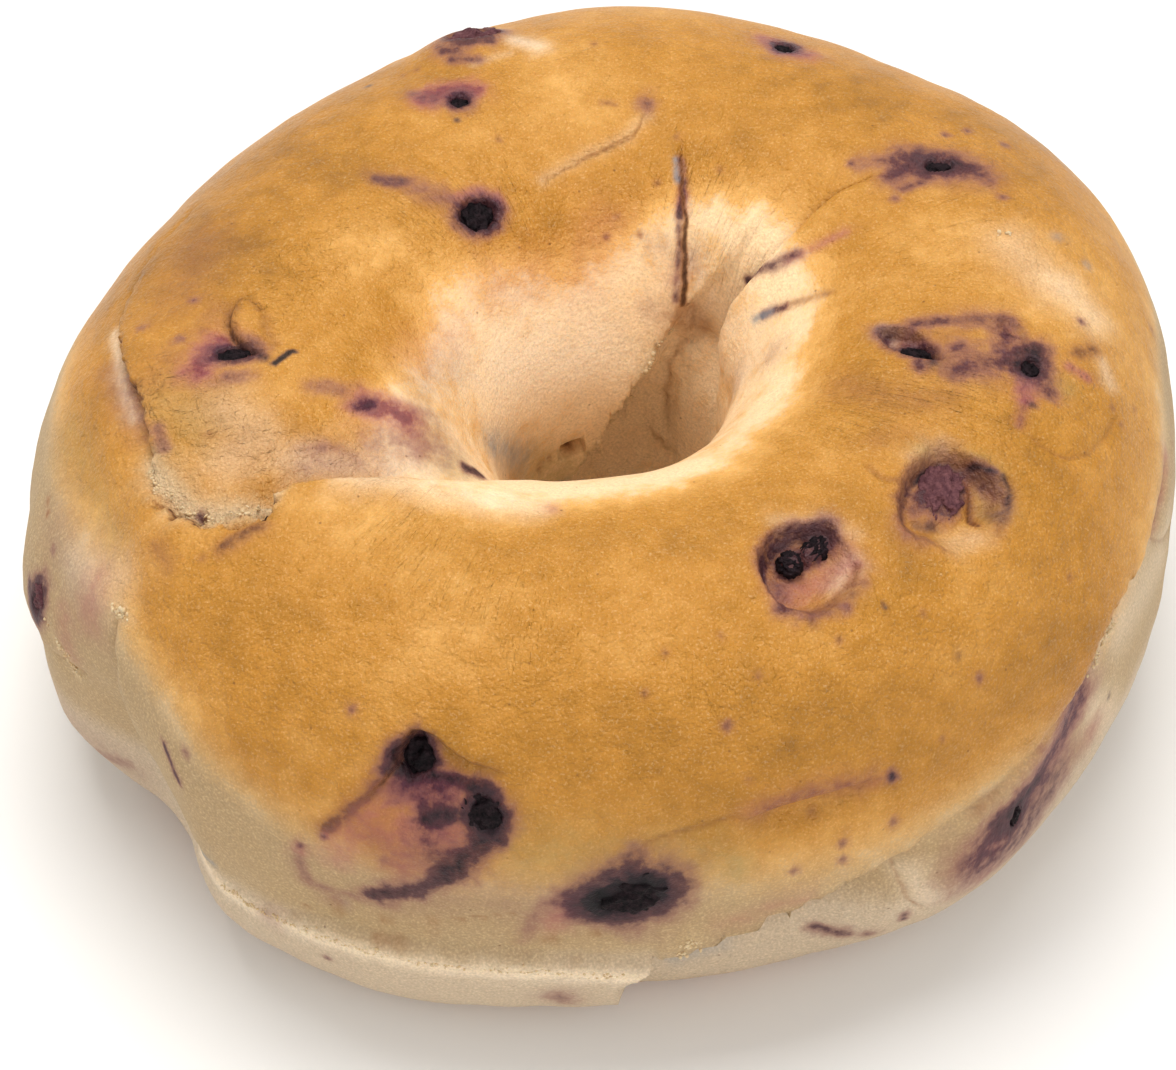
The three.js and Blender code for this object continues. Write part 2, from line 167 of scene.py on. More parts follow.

# shallow folds and thin cracks in the skin: (cut, width, ragged, dark, places), dark being the half width of a painted
# shade line
fineCreases = {
    "flapCrack": (0.4, 0.3, 0.35, 0.3, [(175.9, 86.8), (177.6, 89.4), (180.4, 90.9), (182, 91), (185.1, 92.7), (187, 94.4)]),
    "tongueFold": (0.25, 0.4, 0.1, 0, [(119, 109.7), (115, 112), (112.2, 114.5), (112.4, 117), (117.4, 116.9)]),
    "lipDent": (0.2, 0.6, 0.15, 0, [(228, 82.3), (232.9, 84.6), (236.7, 87.2), (238.8, 91), (241.2, 96)]),
    "craterCrack": (0.3, 0.3, 0.25, 0.25, [(320.7, 91.5), (320.3, 87.8), (322.2, 83.9)]),
    "craterFold": (0.6, 0.4, 0.15, 0.5, [(330.6, 76.5), (329, 73), (327.3, 70.4), (325.9, 68.1), (325.1, 65.5)]),
    "craterRoof": (0.3, 0.4, 0.1, 0.4, [(324.5, 85), (327.5, 84.6), (330.5, 82.8), (331.7, 76.6), (332.4, 71.1)]),
    "craterSide": (0.3, 0.4, 0.1, 0.4, [(332.7, 69), (331.6, 65.5), (328.7, 62.7), (324.2, 60.4)]),
    "craterLedge": (0.4, 0.4, 0.1, 0.3, [(306.6, 75.5), (304.3, 71.7), (300.2, 69.6), (296, 69.3)]),
    "rightArc": (0.3, 0.6, 0.1, 0.15, [(340.7, 70.1), (340.3, 61), (342.2, 54.8), (346.6, 50.1), (351.6, 48.2)]),
    "lowFold": (0.3, 0.6, 0.1, 0.2, [(272.9, 20.5), (276.2, 22.8), (281.3, 24.8), (284.5, 25.7)]),
    "lowLine": (0.15, 0.4, 0.2, 0.08, [(238, -3), (241.9, -1.9), (249.5, -0.6), (255.5, 0.8), (261.4, 3.7)]),
    "berryLine": (0.2, 0.4, 0.2, 0.12, [(262, -2.2), (264.2, -1.7), (267.2, -1.1), (270.2, -0.6)]),
    "skirtFold": (0.5, 0.6, 0.2, 0.12, [(300.4, 1), (301.3, -2.8), (302, -7.3), (304.2, -14.1)]),
    "skirtWrinkle": (0.4, 0.6, 0.3, 0.15, [(282, -20), (286.7, -17), (290.8, -12.7), (294.5, -7)]),
    "skirtCrease": (0.4, 0.6, 0.3, 0.12, [(279, -14), (284, -11), (289, -8), (293, -4)]),
    "rightSeam": (0.4, 0.6, 0.2, 0.15, [(354.1, 24.3), (349, 19.5), (346.2, 16), (350, 7), (355, 2)]),
    "holeCrease": (0.4, 0.4, 0.2, 0.15, [(118, 180.6), (129.7, 180.6), (137.1, 181.5), (150, 182)]),
    "holeFold": (0.7, 0.9, 0.3, 0.2, [(60, 160), (64, 168), (66, 176), (62, 186)]),
    "holeFoldLow": (0.6, 0.8, 0.3, 0.2, [(72, 182), (66, 188), (58, 190)]),
}
for name, (cut, width, ragged, dark, at) in fineCreases.items():
    creases[name] = {"fall": (1, 1), "cut": cut, "width": width, "lap": 0, "ragged": ragged, "dark": dark,
                     "at": [(u, v, 0, 0) for u, v in at]}

# the foot: a band rolled under the dough, with a crease above it. [around, across, lift above, lift below]
foot = {
    "fall": (5, 15), "cut": 0.35, "width": 0.45, "ragged": 0.2, "grooved": (222, 354),
    "mmPerDegree": 0.42,  # across the rope at its outer side
    "rounded": 0.2,       # the lower corner of its loose end, in degrees for each square millimetre
    "at": [(0, 14, 0, 0), (60, 6, 0, 0), (150, 2, 0, 0), (212, 2, 0, 0), (219, 0, -0.2, -0.4), (224, -4, -0.4, -0.9),
           (229, -8, -0.6, -0.6), (235, -7.6, -0.6, 0.1), (243, -3.8, -0.6, 0.7), (252, -4, -0.6, 0.8),
           (262, -4.6, -0.6, 0.7), (270, -6.8, -0.6, 0.6), (274.6, -8, -0.6, 0.4), (275.6, -7, -0.2, -5.4),
           (285, -2.6, 0.1, -6.4), (291, -0.4, 0.2, -6), (297, 2.5, 0.3, -4), (303, 3.6, 0.3, -0.4),
           (309, 4.5, 0.3, 1.4), (317, 9, 0.6, 1), (323, 15, 0.8, 0), (328, 22, 0.8, -0.9),
           (334, 25, 0.6, -1.1), (341, 23, 0.4, -0.9), (348, 24, 0.2, -0.4), (352, 22, 0, 0), (360, 14, 0, 0)],
}

# broad hollows, and swellings where the depth is negative. [around, across, half length, half width, turn, depth]
hollows = {
    "tongueDip": (218, 112, 15, 9, 40, 1.6),
    "leftValley": (199, 45, 14, 6, 0, 1.1),
    "notch": (215, -10, 15, 24, 0, 5),
    "lobe": (197, 11, 10, 10, 0, -1.3),
    "frontFold": (251, 34, 6, 8, 0, 1.4),
    "footDimple": (290, 22, 6, 3.5, 0, 1),
    "backSwell": (110, 62, 8, 6, 0, -1.3),
}
ropeDepth = 12  # a hollow presses the near side of the rope alone

# pits that berries left, as hollows with steep walls, and then: how square, which way the wall is gentle, juice, which
# on the steep wall is partly painted shade
pits = {
    "craterFront": (300.2, 79, 4.6, 4.9, 0, 2.3, 2.2, -50, 0.7),
    "craterRight": (323.9, 73.1, 5.3, 5.2, 15, 2.2, 3, -115, 0.5),
    "lens": (353.5, 96.2, 3.9, 1.9, 62, 1.3, 1.5, -60, 0.6),
    "holeTear": (115.4, 180.6, 1.3, 0.8, 0, 1.4, 2, None, 0),
    "rightPit": (358.6, 78.6, 1.7, 0.8, 40, 0.35, 2, None, 0.2),
}
pitWall = {"steep": 0.16, "gentle": 0.7, "rim": 0.22}  # in shares of the pit's size, and the rim's height

# berries: [around, across, half length, half width, turn, half thickness, depth of the top under the skin]
berries = {
    "berry_tongue": (127.4, 113.6, 2.3, 2.1, 0, 1.6, 0.5),
    "berry_back_left": (115.7, 84.4, 1.4, 1.3, 0, 1.1, 0.5),
    "berry_back_edge": (108, 61.5, 3.2, 1.8, 0, 1.4, 0),
    "berry_back": (65.8, 67, 1.5, 1.3, 0, 1.1, 0.4),
    "berry_right_back": (33.3, 83.9, 2.1, 1.3, 60, 1.2, 0.5),
    "berry_lap": (188.4, 86.6, 2.4, 1.9, 90, 1.5, 0.3),
    "berry_lens": (352.6, 95.4, 2.1, 1.2, 70, 1, 1.2),
    "berry_right": (352.2, 73, 1.6, 1.5, 0, 1.3, 0.5),
    "berry_crater_right": (326.6, 78.6, 2.9, 2, 30, 1.1, 1.3),
    "berry_crater_front": (304.1, 84.6, 1.5, 1, 20, 0.8, 1.4),
    "berry_crater_bit": (299, 83.8, 1, 1.1, 0, 0.7, 1.3),
    "berry_front_upper": (249.6, 40.5, 2.3, 2.3, 0, 1.9, 0.4),
    "berry_front_side": (257.6, 29, 2.1, 2.2, 0, 1.7, 0.1),
    "berry_front_low": (272, 7.5, 4.6, 3.4, 10, 2.3, 0),
    "berry_foot": (314.9, -1.7, 1.1, 1.8, 0, 1.2, 0.1),
    "berry_left_edge": (200.2, 13.5, 1.7, 2.2, 0, 1.3, 0.1),
}
# what shows of each berry: [around, across, half length, half width, turn, how square, depth of the dough
# beside it, juice round it, and how far that reaches]
openings = {
    "berry_tongue": (127.2, 113.4, 2.2, 1.8, 0, 2, 1.5, 0.7, 0.9),
    "berry_back_left": (115.3, 84.4, 1, 1, 0, 2, 1.2, 0.7, 0.9),
    "berry_back_edge": (108, 62.3, 3.2, 1.6, 0, 1.6, 0.5, 0.5, 0.8),
    "berry_back": (65.8, 67, 1.1, 1, 0, 2, 1, 0.8, 1),
    "berry_right_back": (33.3, 83.9, 1.6, 0.85, 60, 2, 1, 0.8, 1.5),
    "berry_lap": (187.2, 86.6, 1.7, 1, 90, 2, 1.6, 0.8, 0.9),
    "berry_lens": (352.4, 95, 1.9, 1, 66, 1.6, 1.5, 0.6, 0.7),
    "berry_right": (352.3, 73, 1.3, 1.1, 0, 2, 1.2, 0.8, 1.3),
    "berry_crater_right": (326.6, 78.6, 2.9, 2, 30, 2, 1.8, 0.5, 0.8),
    "berry_crater_front": (304.1, 84.6, 1.4, 0.8, 20, 2, 1.48, 0.7, 0.9),
    "berry_crater_bit": (299, 83.8, 0.7, 0.9, 0, 2, 1.38, 0.7, 0.9),
    "berry_front_upper": (249.4, 40.6, 2.2, 2.7, 0, 1.3, 1.3, 0.9, 0.8),
    "berry_front_side": (257.8, 28.8, 1.5, 2, 15, 1.6, 0.6, 1, 1.2),
    "berry_front_low": (271.4, 7.4, 3, 2.6, 10, 1.7, 0.35, 1, 2.3),
    "berry_foot": (314.9, -1.7, 0.85, 1.5, 0, 2, 0.5, 0.7, 1),
    "berry_left_edge": (200.2, 13.5, 1.1, 1.7, 0, 2, 0.4, 0.8, 1),
}
bedded = {"berry_crater_right", "berry_crater_front", "berry_crater_bit"}  # on the floors of their craters

# ---- what the berries and the oven left on the skin, with some painted light and shade: (amount, half width, places along the stroke) ----
stains = {
    "purple": [
        # the first stroke, below the tongue's ledge, is painted shadow
        (0.3, 1, [(186, 61), (192, 63.5), (197.5, 67)]), (0.5, 0.6, [(197.5, 69.5), (200.5, 69)]),
        (0.5, 0.9, [(192.1, 85), (192.5, 88.7)]), (0.6, 0.6, [(183.1, 75)]), (0.6, 0.5, [(175.5, 75.9)]),
        (0.5, 0.5, [(179.5, 65.5)]), (0.7, 0.5, [(210.4, 67.6)]), (0.4, 0.9, [(196.8, 100.6), (198.5, 107)]),
        (0.8, 0.9, [(198.2, 13.5), (198.8, 10.3), (200.1, 8.7)]), (0.35, 1.2, [(205.1, -25.7), (208.8, -21.5)]),
        (0.9, 0.8, [(202.4, 111), (201.9, 114)]), (0.3, 1.5, [(208.7, 111.4), (212.8, 119.6), (218.1, 130)]),
        (0.9, 0.7, [(223.5, 136.5), (225.8, 142)]), (0.25, 1, [(208.5, 98), (210, 102)]), (0.2, 3, [(209, 130), (216, 134)]),
        (0.5, 0.45, [(72.9, 109.5), (71, 115)]), (0.8, 0.4, [(71, 115), (69.6, 119.5), (68.5, 124.8)]),
        (0.55, 0.35, [(68.5, 124.8), (65.5, 134), (62.8, 147)]),
        (0.9, 0.55, [(44.5, 135.1), (39.5, 131.5)]), (0.6, 0.6, [(39.5, 131.5), (34.5, 126.5), (32.1, 120.2)]),
        (0.8, 0.45, [(27, 137), (22.6, 130.3)]), (0.2, 1.4, [(72.4, 149)]), (0.2, 1.4, [(72.5, 132.7)]),
        (0.2, 1.6, [(63.6, 134.2)]), (0.2, 2, [(6.2, 135)]), (0.2, 2, [(15.6, 154.2)]),
        (0.6, 1.8, [(36.1, 86), (33, 82), (29, 77)]), (0.6, 1.1, [(38.7, 86.7), (34.7, 92.8)]),
        (0.6, 0.5, [(31.9, 92), (31.5, 88.3)]), (0.5, 1, [(38, 90), (41.5, 94)]),
        (0.7, 1, [(350.5, 94.5), (347.9, 94)]), (0.6, 1, [(358.6, 97), (359.5, 91)]),
        (0.5, 1.5, [(359.9, 87.3), (0.1, 81)]), (0.6, 1.7, [(357, 79.7), (352, 79.5), (350.4, 84.5), (348.2, 88.5)]),
        (0.6, 0.9, [(352.2, 89.6), (354.5, 88)]), (0.8, 1, [(348.9, 67.5)]), (0.9, 1.4, [(355.5, 72), (352.3, 76.5)]),
        (0.5, 1.6, [(321.5, 80.5), (325.5, 81), (329.5, 80), (329, 77)]), (0.35, 0.8, [(316.5, 79), (315.2, 75)]),
        (0.6, 0.5, [(330.5, 82), (331.6, 76.6), (332, 71)]), (0.35, 1.3, [(324, 77.5), (328, 76)]),
        (0.5, 1.4, [(295.5, 78), (296.5, 82), (299, 85)]), (0.5, 0.8, [(300.4, 87.8), (304, 87), (306.5, 84.5)]),
        (0.6, 0.9, [(293.3, 72), (295.2, 70)]), (0.4, 0.8, [(301.4, 66.3)]), (0.35, 1.2, [(302, 84), (305.5, 82)]),
        (0.6, 3.6, [(325.5, 9), (321, 3), (316, -0.5), (310, -2)]), (0.55, 4, [(323, -5), (316, -9), (310, -6)]),
        (0.4, 2.2, [(325.7, 8), (320.5, 2)]), (1, 2, [(318.5, 0.8), (312, -0.3)]), (0.15, 2.4, [(329.8, -3.7)]),
        (0.7, 0.9, [(293.5, -20), (296.5, -22.5)]), (0.5, 1, [(298.9, -24)]), (0.6, 0.5, [(301.9, -13), (302.2, -17.5)]),
        (0.7, 0.7, [(300.1, 23.8)]), (0.6, 1.6, [(248.9, 31.5), (253.3, 32)]), (0.15, 4, [(250, 6), (258, 9), (262, 6)]),
        (1.2, 1.6, [(257.1, 33), (258, 30), (258.3, 27)]), (1.2, 1, [(251.6, 25.3), (254.1, 27.7)]),
        (1, 1.5, [(258.3, 25.7), (257, 20), (254.5, 13.5)]), (1, 1.1, [(254.5, 13.5), (251.5, 7.5), (247.3, 3.9)]),
        (0.4, 0.9, [(247.3, 3.9), (243.5, 0.5), (240.5, 2), (239.8, 8)]), (0.5, 2.4, [(252, 19.5), (254.7, 17)]),
        (1, 0.8, [(251.6, 35.8), (255.1, 36.2), (257.5, 35.5)]), (1, 1, [(249.3, 35.5), (247, 37.5)]),
        (1, 3.2, [(269, 6.8), (275, 9)]), (0.6, 1.6, [(272.5, 14), (272.8, 18)]), (0.4, 1.8, [(265.5, 6)]),
        (0.35, 1, [(262.9, 3), (261.8, -1)]), (0.3, 1.4, [(236, -9.2)]), (0.45, 1.6, [(265.1, -19.4), (265.7, -22.8)]),
        (0.7, 0.5, [(240, 11.9)]), (0.6, 0.5, [(242.3, 16.7)]), (0.5, 0.5, [(248.2, 14.6)]),
        (0.8, 0.35, [(223.5, 18), (224.9, 14.7), (226.2, 11.2)]),
        (0.8, 1.2, [(112.5, 66.3), (106.5, 67.5)]), (0.6, 0.6, [(112.6, 70.2), (108.8, 74)]),
        (0.6, 1, [(82.6, 95.3)]), (0.4, 0.8, [(138.5, 91.8), (136, 95.5)]), (0.35, 1.3, [(135, 98), (131, 108)]),
        # the first stroke here, below the tongue's ledge, is painted shadow too
        (0.2, 1.4, [(183, 54.5), (190, 59), (196, 63)]), (0.25, 2.4, [(210.8, 94.8), (212, 102.6), (214.3, 112)]),
        # the last stroke here, faint and wide low on the left lobe, is painted shade
        (0.35, 0.8, [(208.7, 98.6)]), (0.12, 4, [(198, 30), (204, 32)]), (0.14, 4, [(203, -16), (209, -22)]),
        (0.5, 0.8, [(118.8, 82), (121, 76)]), (0.6, 1.6, [(60, 4), (64, 1)]), (0.5, 1.4, [(152, 12), (155, 8)]),
    ],
    "rose": [
        (0.8, 1.5, [(184.5, 83.8), (186.7, 81.3), (189.5, 79.5)]), (0.25, 2.5, [(208.2, 34.5), (208.4, 27.1)]),
        (0.8, 1.4, [(202.2, 112), (203.5, 117), (207, 122.5)]), (0.25, 1.8, [(206, 125), (214, 124)]),
        (0.3, 0.8, [(258.1, 107.5)]), (0.3, 0.6, [(32.6, 123.3), (30.1, 115.5), (29, 108.6)]),
        (0.25, 0.7, [(356.6, 103)]), (0.5, 1.1, [(350, 73.5), (346.5, 72.8)]), (0.15, 0.6, [(345, 72.8), (341.5, 71.8)]),
        (0.4, 0.6, [(354.2, 64.1), (353.9, 58.8)]), (0.45, 3, [(325, 8), (318, 0), (311, -3)]),
        (0.35, 2, [(297, 76), (301, 76.5), (305, 77)]), (0.15, 1.2, [(284.1, 26.2), (291, 27), (298, 24.5)]),
        (0.8, 1.8, [(248.9, 31.5), (253.3, 33)]), (0.5, 1.8, [(250.5, 22.5), (254.6, 23)]),
        (0.3, 1.8, [(246.5, 26), (245, 19), (243.5, 12)]), (0.9, 1.4, [(119.7, 79.4), (116, 80.5), (112.4, 83)]),
        (0.25, 2.4, [(250.5, 14), (249, 20)]), (0.5, 0.8, [(239.9, 10.5)]), (0.4, 0.6, [(242.6, 17.1)]),
        (0.5, 0.9, [(128.2, 107.2), (123.3, 108.5), (120.2, 111.9)]), (0.5, 1.3, [(69, 65), (65.8, 69.5), (62, 68)]),
        (0.4, 0.6, [(69.8, 118), (68.8, 122)]), (0.2, 1.5, [(64.5, 140)]), (0.3, 1.2, [(354.1, 24.3), (346.2, 18.7)]),
        (0.4, 1.5, [(266.5, 7.4), (264.8, 1)]), (0.3, 2, [(329.8, -3.7)]), (0.2, 2, [(311.4, -13.2)]),
        (0.15, 3, [(120, 135), (138, 132)]), (0.15, 3, [(165, 135), (185, 128)]), (0.12, 3, [(90, 128), (100, 140)]),
        (0.15, 1, [(281, -0.4), (286.8, 1.7), (290.4, 2.2)]), (0.2, 1.5, [(205, 20), (206, 10)]),
    ],
    "ink": [
        (1.2, 0.28, [(191, 93.1), (189.5, 95), (188.2, 96.4)]), (0.6, 0.4, [(186.5, 89.5), (189.5, 91.5)]),
        (0.5, 0.45, [(345.5, 70.5)]), (0.5, 0.4, [(350.5, 74.5)]), (0.5, 0.4, [(223.8, 140), (225.6, 143)]),
        (0.6, 0.4, [(44, 135.3), (41.5, 133.5)]), (0.45, 0.8, [(320.5, 73.7)]), (0.3, 0.6, [(319.4, 76.1)]),
        (0.3, 0.5, [(331, 71.3)]), (0.4, 0.8, [(327.7, 63.8)]), (0.45, 0.9, [(305.2, 86)]), (0.45, 0.8, [(299.8, 85.7)]),
        (0.4, 0.3, [(300, 88.6), (304, 87.4), (307, 84.5)]), (1.2, 2.2, [(269.2, 6.8), (273.6, 9)]),
        (0.5, 1.4, [(271, 13), (274.5, 11.5)]), (0.8, 1.3, [(257.5, 32), (258, 27)]), (0.3, 0.7, [(139, 91.2), (136, 95)]),
        (0.5, 0.7, [(252.5, 26.5), (256, 29)]), (0.35, 1, [(34.5, 86), (36.5, 85)]), (0.5, 0.8, [(348.8, 91.6)]),
        (0.5, 0.8, [(249, 36), (247.5, 37.5)]), (0.3, 0.7, [(254.5, 13.5), (251.5, 7.5)]),
        (0.7, 0.3, [(324.5, 84.4), (327.5, 84), (330.3, 82.2)]), (0.6, 0.3, [(331.4, 76.6), (332.1, 71.1)]),
        (0.6, 0.3, [(332.3, 69), (331.2, 65.7), (328.7, 63.1)]), (0.3, 2, [(316.5, -1.5), (313.5, -1.5)]),
        (0.25, 0.4, [(311.4, 43.8)]),
    ],
    "blue": [
        (0.3, 1.8, [(191.7, 160.7), (176.2, 169.5), (160.1, 177.4)]), (0.35, 0.3, [(74, 110), (71.8, 116)]),
        (0.35, 0.45, [(28.9, 139.7), (25.5, 135)]), (0.2, 0.8, [(16.4, 65.7)]), (0.25, 0.6, [(12.7, 58)]),
        (0.25, 1.4, [(277.8, -28.5), (282.7, -24)]), (0.8, 0.5, [(244.2, -0.3)]),
        (0.3, 0.5, [(222.2, -1.8), (225.2, -5), (228.9, -4.4)]), (0.1, 2.5, [(195, 128), (175, 140)]),
    ],
    "brown": [
        (0.6, 0.8, [(218.6, 66.2), (219.4, 71), (220.3, 77)]), (0.35, 0.8, [(211.7, 55.3), (214.9, 55.1)]),
        (0.5, 0.6, [(197.5, 110.8)]), (0.4, 0.5, [(22.6, 130.3), (15.6, 117.5)]),
        (0.9, 0.7, [(115.4, 180.6)]), (0.35, 1.5, [(62.8, 151), (60.7, 156), (57.9, 158)]),
        (0.3, 2.4, [(36, 90), (29, 78)]), (1.3, 1.1, [(355.2, 96.8), (352.5, 95)]), (0.5, 0.8, [(359, 79.1), (357.5, 76.9)]),
        (0.5, 0.6, [(345.5, 72.8), (341.5, 71.8)]), (0.5, 1, [(350, 73), (346.5, 72.8)]),
        (0.9, 0.35, [(330.6, 76.5), (329, 73), (327.3, 70.4), (325.9, 68.1), (325.2, 66)]),
        (0.35, 1.2, [(357.4, 60.6), (358.9, 57.2)]), (0.4, 2, [(246, 22), (250, 14)]),
        (0.5, 0.8, [(357, 62.5), (358.6, 58)]), (0.25, 2.4, [(340.1, 109), (338.4, 98.8), (340.1, 89.8)]),
        (0.2, 1.8, [(327, 93), (331, 91)]), (0.25, 1.6, [(319, 73), (321.5, 75)]), (0.3, 1.2, [(314.8, 76), (315.5, 71)]),
        (0.35, 1.7, [(330.5, 71), (328.5, 66)]), (0.5, 0.8, [(296.5, 66.8), (302.1, 67.8), (305.5, 70.5)]),
        (0.5, 1.4, [(286, 26), (292, 27), (297, 25)]), (0.35, 1.6, [(355.3, 90.9), (350, 87), (348, 81.6)]),
        (0.5, 1, [(0.3, 80), (356.8, 78.7), (353, 80.1)]), (0.3, 2.2, [(31, 80), (37, 88), (34, 92)]),
        (0.12, 3, [(192, 78), (204, 84)]),
        (0.5, 0.5, [(295.8, 68.3), (300.2, 69.4), (304.3, 71.7), (306.6, 74.7)]), (0.4, 0.6, [(291.5, 20)]),
        (0.6, 0.9, [(139, 91), (137.6, 94.5)]), (0.3, 1.2, [(137, 97), (132.1, 105.5)]), (0.3, 1.4, [(63, 69), (69, 66)]),
        (0.4, 0.4, [(90.9, 94.7), (88.3, 95.6)]), (0.9, 0.8, [(248.1, 41.5), (247, 36), (245.8, 29), (242.5, 19)]),
        (0.25, 3.5, [(163, 68), (175, 72)]), (0.25, 2.5, [(186, 74), (190, 72)]), (0.35, 1.5, [(178, 82), (182, 80)]),
    ],
    "olive": [
        # the first stroke, in the left valley, is partly a less baked crust and partly painted shade
        (0.15, 2.4, [(187.3, 40), (195.4, 44), (206.4, 45.5)]), (0.4, 1.6, [(331, 71), (328.5, 66)]),
        (0.15, 3, [(194.5, 73.8), (199.2, 76)]), (0.2, 1.2, [(332.5, 75.5), (329, 86)]), (0.2, 1.4, [(351, 64.1)]),
        (0.2, 4, [(262, 20), (280, 15)]), (0.35, 1.3, [(283, 12)]), (0.25, 2.5, [(208, 126), (216, 128), (222, 134)]),
        # the stroke deep in the hole is painted shade
        (0.3, 4, [(150, 181), (130, 184)]),
    ],
    "pale": [
        # painted highlight along the edge of the tongue's ledge
        (0.6, 0.7, [(177, 53.5), (183, 57.5), (187.3, 59.6), (193, 62)]),
        (0.45, 2.2, [(209.5, 92), (212, 98), (214.3, 106), (219, 122)]), (0.3, 3, [(198, 84), (204, 88), (206, 80)]),
        (0.5, 1.6, [(222, 94), (228, 100.5), (238, 105), (247, 107.5), (255, 108)]), (0.4, 4, [(336, 12), (350, 8)]),
        (0.5, 0.3, [(62.5, 133.8), (62.8, 147.3)]), (0.5, 0.3, [(58, 138), (60.7, 154.1)]),
        # the last stroke here, along the back lip, is a painted highlight on its ledge
        (0.5, 0.3, [(54.6, 143.2), (57.9, 155.5)]), (0.2, 0.8, [(82, 99), (86, 105), (95.4, 108.5), (106.5, 111.8)]),
        (0.45, 2.6, [(7.9, 66), (4, 58)]), (0.3, 3, [(15, 78), (8, 70)]), (0.5, 1.4, [(301.9, -1.6), (304, -8.7)]),
        # the first stroke here, over the back-edge berry, is a painted highlight
        (0.6, 1.2, [(102.6, 69.2), (99.7, 75)]), (0.6, 0.7, [(333.4, 16.5), (330.9, 14.7), (328.6, 11)]),
        (0.2, 0.5, [(110, 74.8), (104, 74.5)]), (0.25, 1.5, [(323, 64.5), (320.2, 66.8)]), (0.5, 1.5, [(305.5, 76), (303, 73)]),
        (0.6, 0.8, [(357.3, 103.5), (356, 101)]),
        # the first stroke here, wide on the hole's wall, is painted light where the wall lies in shade
        (0.8, 5, [(100, 160), (125, 158), (150, 152)]), (0.4, 4, [(20, 150), (40, 150)]),
        (0.2, 1, [(327, 87), (332, 84)]), (0.2, 1, [(300, 91), (307, 87), (309, 81)]), (0.35, 3, [(204, 33), (210, 42)]),
        (0.5, 2.5, [(328.5, 2), (333, -4)]),
        (1, 0.9, [(226, -9), (230, -10.8), (234.3, -9.8), (238.6, -8.2), (243.3, -6.4), (248.3, -6.6), (254.8, -6.8),
                  (261.2, -7.4), (267.9, -9), (272, -11.3), (274, -12)]),
        (0.4, 0.9, [(357.5, 55), (355, 52)]),
    ],
    "torn": [
        (1, 1.8, [(201.5, 64), (205, 64.6), (209, 65.8), (211.5, 70), (213.8, 77), (216, 82)]),
        (0.6, 0.9, [(212, 34), (213.5, 37)]), (0.4, 0.7, [(202.4, 11.9), (205.2, 8.8), (205.7, 1.8)]),
        (0.8, 0.8, [(66, 159.3), (67.9, 158.2), (72, 164.5), (78.8, 178.7), (83.4, 181.2), (87.5, 182.4)]),
        (0.7, 0.8, [(333.4, 16.5), (330.9, 14.7), (328.6, 11)]), (0.4, 0.9, [(278.8, -1.1)]),
        (0.5, 0.6, [(226, -8.4), (230, -10.2), (234.3, -9.2), (238.6, -7.6), (243.3, -5.8), (248.3, -6), (254.8, -6.2),
                    (261.2, -6.8), (267.9, -8.4), (272, -10.7), (274, -11.4)]),
        (0.6, 3, [(66, 165), (70, 178), (62, 190)]), (0.8, 6, [(62, 180), (85, 192), (110, 202)]),
    ],
    "wrinkled": [
        (0.8, 6, [(236, 92), (246, 84), (258, 77)]), (0.9, 5, [(330, 100), (340, 98), (343, 84)]),
        (0.5, 7, [(15, 92), (28, 80)]), (0.6, 5, [(120, 112), (142, 104)]), (0.7, 3, [(194, 72), (199, 80)]),
        (0.6, 5, [(287, -10), (300, -8), (312, -8)]), (0.7, 6, [(66, 112), (55, 130)]), (0.5, 4, [(280, 60), (290, 50)]),
    ],
    "puckered": [
        (1, 4.5, [(165, 92), (174, 92)]), (0.5, 5, [(150, 100), (158, 96)]), (1, 4, [(192, 74), (200, 82), (206, 90)]),
        (0.8, 4, [(208, 100), (214, 108)]), (0.3, 5, [(250, 86), (262, 78)]), (0.4, 6, [(110, 90), (90, 80)]),
        (0.4, 7, [(340, 80), (352, 60)]), (0.3, 8, [(290, 60), (310, 55)]),
    ],
}
# round specks: (amount, half width), then their places
specks = {
    "ink": ((0.6, 0.34), [(306, 62.9), (332.9, -0.7), (300.1, 23.8), (123.7, 60.2), (117.8, 89.1)]),
    "brown": ((0.5, 0.4), [(193.6, 29.1), (194.9, 28), (351.7, 49.7), (354.4, 42), (350.5, 46.1), (8.9, 32.9),
                           (358.4, 17.5), (284.6, 69.3), (298.7, 60.1), (287.8, 57.8), (306.6, 26.9), (284.7, 34),
                           (277.2, 67.4), (112.3, 97.3), (90.1, 130), (91.7, 77.5), (75.1, 103.8), (63.7, 109.8),
                           (217.6, 61.9), (201.2, 78.9), (119.4, 65.4), (117.4, 66.6), (274.2, 58), (86.8, 125.2),
                           (79.1, 129.9), (76.8, 116.8), (310, 57), (329, 40)]),
    "purple": ((0.55, 0.5), [(30.6, 94.9), (38, 75.5), (37.5, 69.3), (33.5, 63.7), (24.1, 75.7), (283.2, 47.7),
                             (312.6, 36), (299.5, 12.8), (294, 11.9), (293.9, 8.1), (288.8, 8.4), (199.3, 26.5),
                             (242.3, 49.3), (226.5, 20.7), (242.4, -13.1), (42.3, 95.1), (38.1, 91), (2.6, 61.6)]),
}
for kind, ((amount, width), places) in specks.items():
    stains[kind] += [(amount, width, [place]) for place in places]

